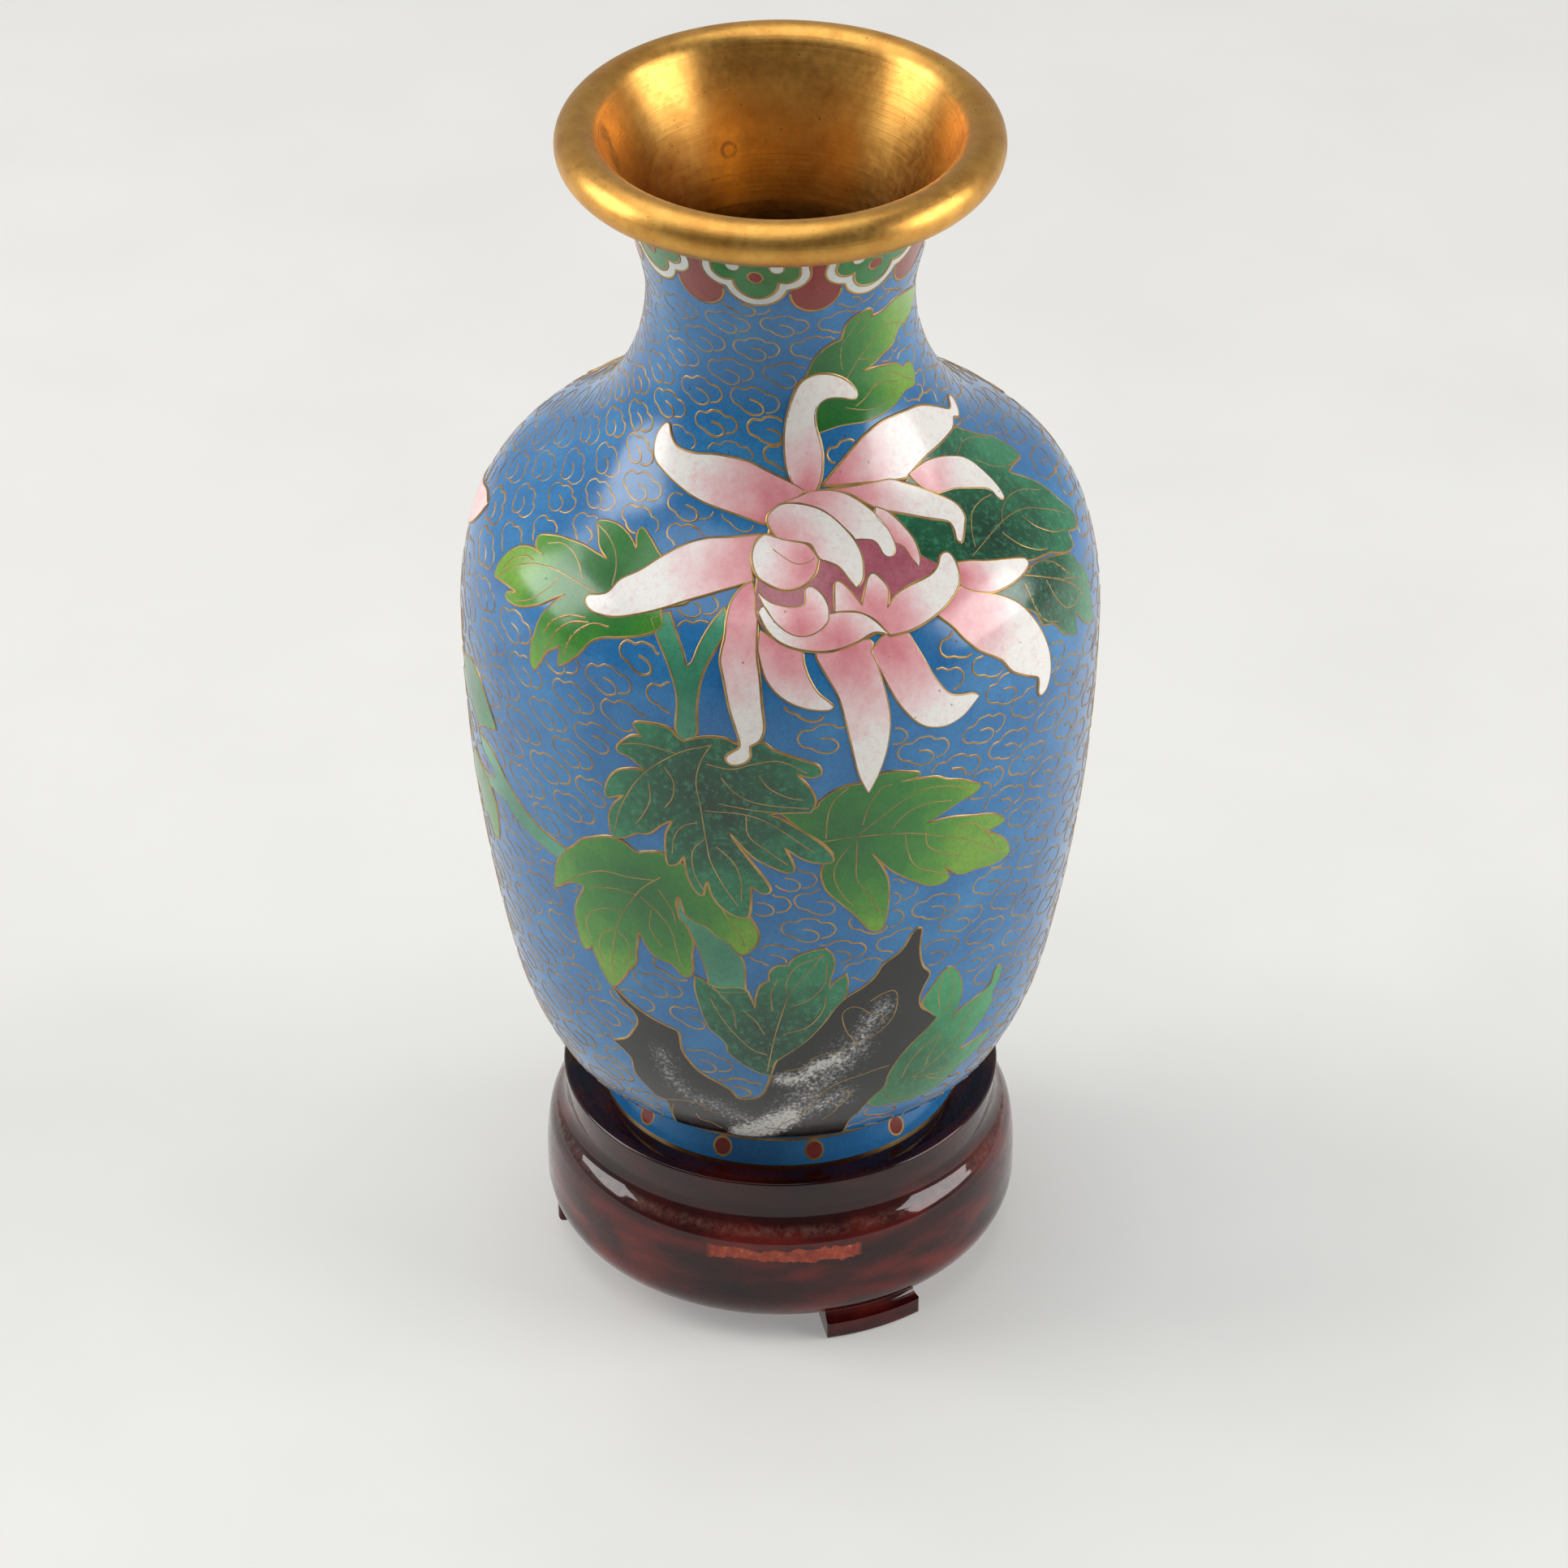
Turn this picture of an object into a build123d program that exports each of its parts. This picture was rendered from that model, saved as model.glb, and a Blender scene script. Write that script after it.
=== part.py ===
from build123d import *
import os
from math import atan2, degrees, hypot

# Small cloisonne vase standing loose on a turned wooden stand. Millimetres, +Z up.
# Origin: centre of the stand's underside, on the table. The front of the vase faces -Y.

# Vase: the outer enamel surface, as one chain of tangent arcs from the base up to the lip.
# Heights are above the seat, the face of the stand that the vase rests on.
SEAT_Z = 26.0
BASE_R = 23.15  # where the flat base ends
BASE_Z = 4.0  # height of the flat base, the foot's own height
BASE_CORNER = (2.5, 39.05)  # arcs are a radius and a sweep in degrees
BASE_CONE = 8.0  # straight stretch from the foot out to the heel
CONVEX_ARCS = [(5.89, 21.5), (49.25, 17.04), (250.2, 12.41), (42.2, 16.68), (16.5, 36.26)]
SLOPE = 7.3  # straight stretch between shoulder and neck
CONCAVE_ARCS = [(30.64, 52.94), (14.0, 11.0), (66.0, 18.0)]  # neck to its waist, then the flare
BELLY_Z = 78.7
NECK_JOINT_Z = 101.0

# Wall, from the outside in
ENAMEL = 0.6
COPPER = 0.8
COUNTER_ENAMEL = 0.3
WALL = ENAMEL + COPPER

# Lip: the funnel's inner face rolls over, without a crease, into a round bead
LIP_BEAD_R = 3.04
RIM_JOINT_Z = 146.0  # the bead is one piece with the wall above this height

# Foot ring: a slightly splayed band with a bare metal edge at its bottom
FOOT_TOP_R = 24.1
FOOT_BOTTOM_R = 25.5
FOOT_EDGE = 0.4
SEAM_WIRE = 0.3
SEAM_WIRE_R = FOOT_TOP_R + SEAM_WIRE / 2  # it stands a little proud of the enamel
FOOT_DOTS = 12
FOOT_DOT_R = 1.1
FOOT_DOT_Z = 2.2
FOOT_DOT_AT = -79.0  # azimuth of one dot
DOT_WIRE = 0.3

# Lappets: three-lobed panels that hang from the lip all round, with half-rounds between them
LAPPETS = 8
LAPPET_AT = -99.0  # azimuth of one lappet's centre
LAPPET_LOBES = [(0.0, 140.0, 4.3), (-3.9, 141.9, 3.3), (3.9, 141.9, 3.3)]  # x, height, radius
LAPPET_BORDER = 1.3
LAPPET_DOT = (0.0, 140.8, 1.0)
SCALLOP = (0.0, 138.0, 3.4)  # the half-round's own circle; it runs up to the lip from there
BAND_TOP = 152.0

# Stand: a turned ring with a collar, a cove and a full belly, a floor panel, and three feet
COLLAR_R = 30.8
COLLAR_TOP_Z = 27.1
COLLAR_WALL = 1.5
COLLAR_ROUND = 0.4
COLLAR_FOOT_R, COLLAR_FOOT_Z = 30.5, 22.6
RIDGE_R, RIDGE_Z = 31.9, 19.5
SHOULDER_R, SHOULDER_Z = 32.95, 17.3  # where the belly starts to turn in to the ridge
BELLY_R = 33.4
BELLY_LINE = (9.0, 12.0)  # the belly is upright between these heights
RING_BOTTOM_R, RING_BOTTOM_Z = 29.3, 3.2
RING_BORE_R = 24.0
PANEL_R = 28.1
PANEL_THICK = 2.0
TOE_R = 32.2
TOE_HEIGHT = 2.7
TOE_ROUND = 0.6
FOOT_INNER_R = 25.0
INSTEP_R, INSTEP_Z = 30.4, 4.4
INSTEP_DIP = 0.55
FOOT_SPAN = 26.0
STAND_FEET = {"front": -65.0, "right": 55.0, "left": 175.0}  # azimuth of each foot's middle

FRONT = -90.0  # azimuth of the front
FAR = 60.0  # beyond everything, for cutting tools


def turned(section, angle=360.0):
    """A section drawn with X as radius and Y as height, turned about the Z axis."""
    return revolve(Plane.XZ * section, Axis.Z, angle)


def block(low_r, low_z, high_r, high_z):
    """A rectangle of a section between two radii and two heights."""
    return Pos(low_r, low_z) * Rectangle(high_r - low_r, high_z - low_z, align=(Align.MIN, Align.MIN))


def onward(edge, length):
    """A straight line that carries on from the end of an edge."""
    return Line(edge @ 1, edge @ 1 + length * (edge % 1))


def bend(edges, arc, offset):
    """Adds a tangent arc to a chain of edges, its radius changed by offset."""
    radius, sweep = arc
    edges.append(JernArc(edges[-1] @ 1, edges[-1] % 1, radius + offset, sweep))


def outline(depth):
    """The vase's outer surface from the axis at the base up to the lip, moved inwards by depth."""
    edges = [Line((0, SEAT_Z + BASE_Z + depth), (BASE_R, SEAT_Z + BASE_Z + depth))]
    bend(edges, BASE_CORNER, -depth)
    edges.append(onward(edges[-1], BASE_CONE))
    for arc in CONVEX_ARCS:
        bend(edges, arc, -depth)
    edges.append(onward(edges[-1], SLOPE))
    for radius, sweep in CONCAVE_ARCS:
        bend(edges, (radius, -sweep), depth)
    return edges


def within(depth):
    """The section from the axis out to that outline."""
    edges = outline(depth)
    flare_end = edges[-1] @ 1
    edges.append(Line(flare_end, (0, flare_end.Y)))
    edges.append(Line((0, flare_end.Y), edges[0] @ 0))
    return make_face(edges)


def layer(outer_depth, inner_depth):
    """One layer of the vase's wall, ending where it meets the lip's bead."""
    return within(outer_depth) - within(inner_depth) - bead_section()


def bead_section():
    """The lip's round bead, tangent to the funnel's inner face at its upper end."""
    funnel = outline(WALL)[-1]
    up = funnel % 1
    outwards = Vector(up.Y, -up.X)
    return Pos(funnel @ 1 + LIP_BEAD_R * outwards) * Circle(LIP_BEAD_R)


def rim_section():
    """The bead, with the top of the copper wall that it is rolled from."""
    wall = within(ENAMEL) - within(WALL)
    return bead_section() + (wall & block(0, SEAT_Z + RIM_JOINT_Z, FAR, SEAT_Z + BAND_TOP))


def neck_part(section):
    return section & block(0, SEAT_Z + NECK_JOINT_Z, FAR, SEAT_Z + BAND_TOP)


def shoulder_part(section):
    return section & block(0, SEAT_Z + BELLY_Z, FAR, SEAT_Z + NECK_JOINT_Z)


def lower_part(section, inner_r):
    """The wall below the belly, outside the disc or ring that closes its base."""
    below = section & block(0, SEAT_Z, FAR, SEAT_Z + BELLY_Z)
    return below - block(0, SEAT_Z, inner_r, SEAT_Z + BASE_Z + 2 * WALL)


def foot_ring_section():
    """The foot's metal wall, from its bare edge up to the copper base it is soldered to."""
    top, edge = SEAT_Z + BASE_Z + ENAMEL, SEAT_Z + FOOT_EDGE
    return make_face(
        Polyline(
            (FOOT_TOP_R - ENAMEL, top),
            (FOOT_TOP_R - ENAMEL, SEAT_Z + BASE_Z - SEAM_WIRE),
            (FOOT_BOTTOM_R - ENAMEL, edge),
            (FOOT_BOTTOM_R, edge),
            (FOOT_BOTTOM_R, SEAT_Z),
            (FOOT_BOTTOM_R - WALL, SEAT_Z),
            (FOOT_TOP_R - WALL, top),
            close=True,
        )
    )


def foot_enamel_section():
    top, edge = SEAT_Z + BASE_Z - SEAM_WIRE, SEAT_Z + FOOT_EDGE
    return make_face(
        Polyline(
            (FOOT_TOP_R - ENAMEL, top),
            (FOOT_TOP_R, top),
            (FOOT_BOTTOM_R, edge),
            (FOOT_BOTTOM_R - ENAMEL, edge),
            close=True,
        )
    )


def stand_ring_section():
    """Collar, cove and belly outside; a ledge for the floor panel and an open bore inside."""
    collar = Line((COLLAR_R, COLLAR_TOP_Z - COLLAR_ROUND), (COLLAR_FOOT_R, COLLAR_FOOT_Z))
    cove = TangentArc(collar @ 1, (RIDGE_R, RIDGE_Z), tangent=(0, -1))
    belly = Line((BELLY_R, BELLY_LINE[1]), (BELLY_R, BELLY_LINE[0]))
    upper_belly = TangentArc(belly @ 0, (SHOULDER_R, SHOULDER_Z), tangent=(0, 1))
    shoulder = TangentArc(upper_belly @ 1, cove @ 1, tangent=upper_belly % 1)
    lower_belly = TangentArc(belly @ 1, (RING_BOTTOM_R, RING_BOTTOM_Z), tangent=(0, -1))
    ledge = SEAT_Z - PANEL_THICK
    inside = Polyline(
        lower_belly @ 1,
        (RING_BORE_R, RING_BOTTOM_Z),
        (RING_BORE_R, ledge),
        (PANEL_R, ledge),
        (PANEL_R, SEAT_Z),
        (COLLAR_R - COLLAR_WALL, SEAT_Z),
        (COLLAR_R - COLLAR_WALL, COLLAR_TOP_Z),
        (COLLAR_R - COLLAR_ROUND, COLLAR_TOP_Z),
    )
    edge = TangentArc(inside @ 1, collar @ 0, tangent=(1, 0))
    return make_face([collar, cove, shoulder, upper_belly, belly, lower_belly, inside, edge])


def stand_foot_section():
    """A foot: a low toe, and a hollow instep that runs up under the belly."""
    toe = Polyline((FOOT_INNER_R, INSTEP_Z), (FOOT_INNER_R, 0), (TOE_R, 0), (TOE_R, TOE_HEIGHT))
    instep_middle = ((TOE_R + INSTEP_R) / 2 - INSTEP_DIP, (TOE_HEIGHT + INSTEP_Z) / 2 - INSTEP_DIP)
    instep = ThreePointArc(toe @ 1, instep_middle, (INSTEP_R, INSTEP_Z))
    top = Line(instep @ 1, toe @ 0)
    return make_face([toe, instep, top]) - stand_ring_section()


def toe_edges(foot):
    """The outer edges of the toe: its two upright corners and the bottom edge between them."""
    middles = {edge: edge.center() for edge in foot.edges()}
    return [edge for edge, middle in middles.items()
            if hypot(middle.X, middle.Y) > TOE_R - 0.1 and middle.Z < TOE_HEIGHT - 0.1]


def disc(shape):
    x, height, radius = shape
    return Pos(x, SEAT_Z + height) * Circle(radius)


def lappet_outline(inset):
    """The three lobes, smaller by inset, joined and carried up to the lip."""
    lobes = Sketch()
    for x, height, radius in LAPPET_LOBES:
        lobes += disc((x, height, radius - inset))
    side_x, side_height, side_radius = LAPPET_LOBES[-1]
    half_width = side_x + side_radius - inset
    middle_height = (LAPPET_LOBES[0][1] + side_height) / 2
    lobes += block(-side_x, SEAT_Z + middle_height, side_x, SEAT_Z + BAND_TOP)
    return lobes + block(-half_width, SEAT_Z + side_height, half_width, SEAT_Z + BAND_TOP)


def around(piece, count, first_azimuth):
    """Separate copies of a piece that was made at the front, spaced evenly about the axis."""
    turns = [first_azimuth - FRONT + 360.0 * i / count for i in range(count)]
    return Compound(children=[Rot(0, 0, turn) * solid for turn in turns for solid in piece.solids()])


def cutter(outline):
    """A prism that reaches from the axis out through the front, with this outline."""
    return extrude(Plane.XZ * outline, FAR)


def inlay(outline, skin):
    """The part of a thin skin that lies behind an outline drawn on its front."""
    return skin & cutter(outline)


def add_metal_and_enamel(parts):
    """The vase's shells: copper in the middle, enamel outside, plain enamel linings inside."""
    copper, enamel, lining = layer(ENAMEL, WALL), layer(0, ENAMEL), layer(WALL, WALL + COUNTER_ENAMEL)
    base_z = SEAT_Z + BASE_Z
    parts["mouth_rim"] = turned(rim_section())
    parts["neck_shell"] = turned(neck_part(copper) & block(0, SEAT_Z, FAR, SEAT_Z + RIM_JOINT_Z))
    parts["shoulder_shell"] = turned(shoulder_part(copper))
    parts["lower_shell"] = turned(lower_part(copper, BASE_R))
    parts["base_disc"] = turned(block(0, base_z + ENAMEL, BASE_R, base_z + WALL))
    parts["foot_ring"] = turned(foot_ring_section())
    parts["shoulder_enamel"] = turned(shoulder_part(enamel))
    parts["lower_enamel"] = turned(lower_part(enamel, SEAM_WIRE_R))
    parts["shoulder_lining"] = turned(shoulder_part(lining))
    parts["lower_lining"] = turned(lower_part(lining, BASE_R))
    parts["base_lining"] = turned(block(0, base_z + WALL, BASE_R, base_z + WALL + COUNTER_ENAMEL))
    parts["base_enamel"] = turned(block(0, base_z, FOOT_TOP_R - WALL, base_z + ENAMEL))
    parts["seam_wire"] = turned(block(FOOT_TOP_R - ENAMEL, base_z - SEAM_WIRE, SEAM_WIRE_R, base_z + ENAMEL))


def add_neck_band(parts):
    """The neck's enamel, with the lappets and the half-rounds let into it."""
    skin = turned(neck_part(layer(0, ENAMEL)))
    outer, inner, dot = lappet_outline(0), lappet_outline(LAPPET_BORDER), disc(LAPPET_DOT)
    half_turn = 180.0 / LAPPETS
    lappet = inlay(outer, skin)
    beside = [Rot(0, 0, turn) * cutter(outer) for turn in (half_turn, -half_turn)]
    x, height, radius = SCALLOP
    between = disc(SCALLOP) + block(-radius, SEAT_Z + height, radius, SEAT_Z + BAND_TOP)
    scallop = inlay(between, skin) - beside
    parts["lappet_cells"] = around(inlay(inner - dot, skin), LAPPETS, LAPPET_AT)
    parts["lappet_borders"] = around(inlay(outer - inner, skin), LAPPETS, LAPPET_AT)
    parts["lappet_dots"] = around(inlay(dot, skin), LAPPETS, LAPPET_AT)
    parts["neck_scallops"] = around(scallop, LAPPETS, LAPPET_AT + half_turn)
    cut = [around(lappet, LAPPETS, LAPPET_AT), parts["neck_scallops"]]
    parts["neck_enamel"] = skin - [solid for group in cut for solid in group.solids()]


def add_foot_band(parts):
    """The foot's enamel, with a row of round dots, each in its own ring of wire."""
    skin = turned(foot_enamel_section())
    dot, cell = disc((0, FOOT_DOT_Z, FOOT_DOT_R)), disc((0, FOOT_DOT_Z, FOOT_DOT_R + DOT_WIRE))
    parts["foot_dots"] = around(inlay(dot, skin), FOOT_DOTS, FOOT_DOT_AT)
    parts["foot_dot_wires"] = around(inlay(cell - dot, skin), FOOT_DOTS, FOOT_DOT_AT)
    parts["foot_enamel"] = skin - around(inlay(cell, skin), FOOT_DOTS, FOOT_DOT_AT).solids()


def add_stand(parts):
    """The turned ring, the panel that closes it, and the feet under it."""
    parts["stand_ring"] = turned(stand_ring_section())
    parts["stand_panel"] = turned(block(0, SEAT_Z - PANEL_THICK, PANEL_R, SEAT_Z))
    foot = turned(stand_foot_section(), FOOT_SPAN)
    foot = fillet(toe_edges(foot), TOE_ROUND)
    for place, azimuth in STAND_FEET.items():
        parts[f"stand_foot_{place}"] = Rot(0, 0, azimuth) * centred(foot)


def centred(swept):
    """A swept piece turned so that its middle lies at azimuth 0."""
    middle = swept.center()
    return Rot(0, 0, -degrees(atan2(middle.Y, middle.X))) * swept


def build():
    parts = {}
    add_metal_and_enamel(parts)
    add_neck_band(parts)
    add_foot_band(parts)
    add_stand(parts)
    return parts


os.makedirs("parts", exist_ok=True)
for node, shape in build().items():
    export_step(shape, f"parts/{node}.step")
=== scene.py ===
"""Looks of the cloisonne vase on its wooden stand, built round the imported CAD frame."""
import math
import random

import bpy
import numpy as np
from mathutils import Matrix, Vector
from mathutils.geometry import delaunay_2d_cdt


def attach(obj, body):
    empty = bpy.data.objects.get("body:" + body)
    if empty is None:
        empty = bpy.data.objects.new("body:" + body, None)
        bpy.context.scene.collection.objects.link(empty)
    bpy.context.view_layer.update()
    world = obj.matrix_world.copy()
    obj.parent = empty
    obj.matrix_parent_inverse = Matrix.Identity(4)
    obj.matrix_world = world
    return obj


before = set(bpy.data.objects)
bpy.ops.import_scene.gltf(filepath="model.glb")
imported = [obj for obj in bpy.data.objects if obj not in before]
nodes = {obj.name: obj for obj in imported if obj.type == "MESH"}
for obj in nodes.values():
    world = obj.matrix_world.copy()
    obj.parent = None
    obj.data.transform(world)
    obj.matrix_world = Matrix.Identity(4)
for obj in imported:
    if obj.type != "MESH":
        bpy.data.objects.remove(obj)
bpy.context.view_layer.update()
rng = random.Random(7)

# ---------------------------------------------------------------- measures
MM = 0.001
SEAT_Z = 26.0             # the vase stands this high on its stand, mm
BELLY_R = 43.42           # radius where one mm of "a" is one mm round the vase
TURN = 2 * math.pi * BELLY_R
WIRE_R = 0.32             # radius of the drawn cell wires
GROUND_LIFT = 0.045       # lowest patch above the ground enamel
LEVEL_LIFT = 0.05         # step from one layer of patches to the next
WIRE_PROUD = 0.04         # top of a wire above its own patch
SUNK = 0.12               # how deep every patch reaches below GROUND_LIFT
GRID = 1.1                # inner points of a patch, mm apart
FINE = 0.45               # points along an outline, mm apart
SHARP = math.radians(40)  # steeper edges of a patch stay crisp

# outer profile of the vase: start, heading and (length or radius, turn in degrees)
PROFILE_START = (23.15, 4.0)
PROFILE = [(2.5, 39.05), (8.0, None), (5.89, 21.5), (49.25, 17.04), (250.2, 12.41),
           (42.2, 16.68), (16.5, 36.26), (7.3, None), (30.64, -52.94), (14, -11), (66, -18)]


def profile_table(step=0.1):
    """Arc length, radius and height along the outer profile, in mm."""
    r, z = PROFILE_START
    heading, s = 0.0, 0.0
    rows = [(s, r, z)]
    for size, turn in PROFILE:
        length = size if turn is None else size * math.radians(abs(turn))
        count = max(2, int(length / step))
        bend = 0.0 if turn is None else math.radians(turn) / count
        for _ in range(count):
            heading += bend / 2
            r += math.cos(heading) * length / count
            z += math.sin(heading) * length / count
            heading += bend / 2
            s += length / count
            rows.append((s, r, z))
    return np.array(rows)


TABLE = profile_table()
RISING = TABLE[100:]      # past the start, where the profile runs nearly level


def radius_at(s):
    return np.interp(s, TABLE[:, 0], TABLE[:, 1])


def height_at(s):
    return np.interp(s, TABLE[:, 0], TABLE[:, 2])


def on_vase(a, s, lift, probe=0.2):
    """Points of the vase surface in metres: a mm round, s mm up, lift mm outwards."""
    a, s = np.asarray(a, float), np.asarray(s, float)
    r, z = radius_at(s), height_at(s)
    dr = radius_at(s + probe) - radius_at(s - probe)
    dz = height_at(s + probe) - height_at(s - probe)
    size = np.hypot(dr, dz)
    r, z = r + lift * dz / size, z - lift * dr / size
    angle = a / BELLY_R
    return np.stack([r * np.sin(angle), -r * np.cos(angle), SEAT_Z + z], -1) * MM


# ---------------------------------------------------------------- flat drawing
def catmull(points, closed):
    """A smooth line through the points, FINE mm apart."""
    p = [np.array(q[:2], float) for q in points]
    if closed:
        p = [p[-1]] + p + [p[0], p[1]]
    else:
        p = [2 * p[0] - p[1]] + p + [2 * p[-1] - p[-2]]
    line = []
    for i in range(1, len(p) - 2):
        steps = max(2, int(np.linalg.norm(p[i + 1] - p[i]) / FINE))
        for k in range(steps):
            t = k / steps
            line.append(0.5 * (2 * p[i] + (p[i + 1] - p[i - 1]) * t
                               + (2 * p[i - 1] - 5 * p[i] + 4 * p[i + 1] - p[i + 2]) * t * t
                               + (3 * p[i] - p[i - 1] - 3 * p[i + 1] + p[i + 2]) * t ** 3))
    if not closed:
        line.append(p[-2])
    return line


def outline(points):
    """A closed outline; a point with a third number is a sharp corner."""
    corners = [i for i, q in enumerate(points) if len(q) > 2]
    if not corners:
        return np.array(catmull(points, True))
    line = []
    for i, start in enumerate(corners):
        end = corners[(i + 1) % len(corners)]
        count = (end - start - 1) % len(points) + 1
        run = [points[(start + k) % len(points)] for k in range(count + 1)]
        line += catmull(run, False)[:-1]
    return np.array(line)


def inside(points, loop):
    """Which of the points lie inside the closed loop."""
    x, y = points[:, 0], points[:, 1]
    hit = np.zeros(len(points), bool)
    for (x1, y1), (x2, y2) in zip(np.roll(loop, 1, 0), loop):
        if y1 != y2:
            hit ^= ((y1 > y) != (y2 > y)) & (x < (x2 - x1) * (y - y1) / (y2 - y1) + x1)
    return hit


def gap(points, loop):
    """Distance of each point from the loop's corners, near enough for a fine loop."""
    return np.sqrt(((points[:, None, :] - loop[None]) ** 2).sum(-1)).min(1)


def filled(loop, edge_gap=0.4 * GRID):
    """Points and triangles that fill a flat loop, with inner points on a grid."""
    low, high = loop.min(0), loop.max(0)
    xs, ys = np.arange(low[0], high[0], GRID), np.arange(low[1], high[1], GRID)
    grid = np.stack(np.meshgrid(xs, ys), -1).reshape(-1, 2)
    grid = grid[inside(grid, loop)]
    if len(grid):
        grid = grid[gap(grid, loop) > edge_gap]
    every = [Vector(p) for p in loop] + [Vector(p) for p in grid]
    ring = list(range(len(loop)))
    verts, _, faces, _, _, _ = delaunay_2d_cdt(every, [], [ring], 1, 1e-4)
    return np.array([tuple(v) for v in verts]), [list(f) for f in faces]


def turning(flat, face):
    """Above 0 where the face runs anticlockwise."""
    a, b, c = (flat[i] for i in face[:3])
    return (b[0] - a[0]) * (c[1] - a[1]) - (b[1] - a[1]) * (c[0] - a[0])


# ---------------------------------------------------------------- objects
def in_scene(name, data, material=None):
    made = bpy.data.objects.new(name, data)
    bpy.context.scene.collection.objects.link(made)
    if material:
        data.materials.append(material)
    return made


def new_object(name, data, material, body):
    """A piece that moves with a body of the frame."""
    made = in_scene(name, data, material)
    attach(made, body)
    return made


def aim(made, place, direction):
    """Put a light or camera at a place, looking along a direction."""
    made.location = place
    made.rotation_euler = direction.to_track_quat("-Z", "Y").to_euler()


def patch(name, loop, level, material, shade=None):
    """A thin closed slab of enamel that follows the vase, with a shade from 0 to 1 per point."""
    flat, faces = filled(loop)
    count = len(flat)
    upper = on_vase(flat[:, 0], flat[:, 1], GROUND_LIFT + LEVEL_LIFT * level)
    lower = on_vase(flat[:, 0], flat[:, 1], GROUND_LIFT - SUNK)
    top = [f if turning(flat, f) > 0 else f[::-1] for f in faces]
    edges = dict.fromkeys((v, w) for f in top for v, w in zip(f, f[1:] + f[:1]))
    sides = [(v + count, w + count, w, v) for v, w in edges if (w, v) not in edges]
    under = [[v + count for v in reversed(f)] for f in top]
    mesh = bpy.data.meshes.new(name)
    mesh.from_pydata([tuple(p) for p in np.vstack([upper, lower])], [], top + under + sides)
    values = np.zeros(count) if shade is None else np.clip(shade(flat), 0, 1)
    layer = mesh.attributes.new("shade", "FLOAT", "POINT")
    layer.data.foreach_set("value", np.tile(values, 2).astype(np.float32))
    mesh.polygons.foreach_set("use_smooth", [True] * len(mesh.polygons))
    mesh.set_sharp_from_angle(angle=SHARP)
    mesh.update()
    return new_object(name, mesh, material, "vase")


def wires(name, lines, level=0.0):
    """Round wires laid along (closed?, points) lines, sunk so that only the tops show."""
    curve = bpy.data.curves.new(name, "CURVE")
    curve.dimensions = "3D"
    curve.bevel_depth = 1.0    # the points carry the thickness: their radius counts in the bounds
    curve.bevel_resolution = 1
    curve.use_fill_caps = True
    lift = GROUND_LIFT + LEVEL_LIFT * level + WIRE_PROUD - WIRE_R
    for closed, line in lines:
        line = np.array(line)
        place = on_vase(line[:, 0], line[:, 1], lift)
        spline = curve.splines.new("POLY")
        spline.points.add(len(place) - 1)
        for point, where in zip(spline.points, place):
            point.co = (*where, 1)
            point.radius = WIRE_R * MM
        spline.use_cyclic_u = closed
    return new_object(name, curve, WIRE, "vase")


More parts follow.
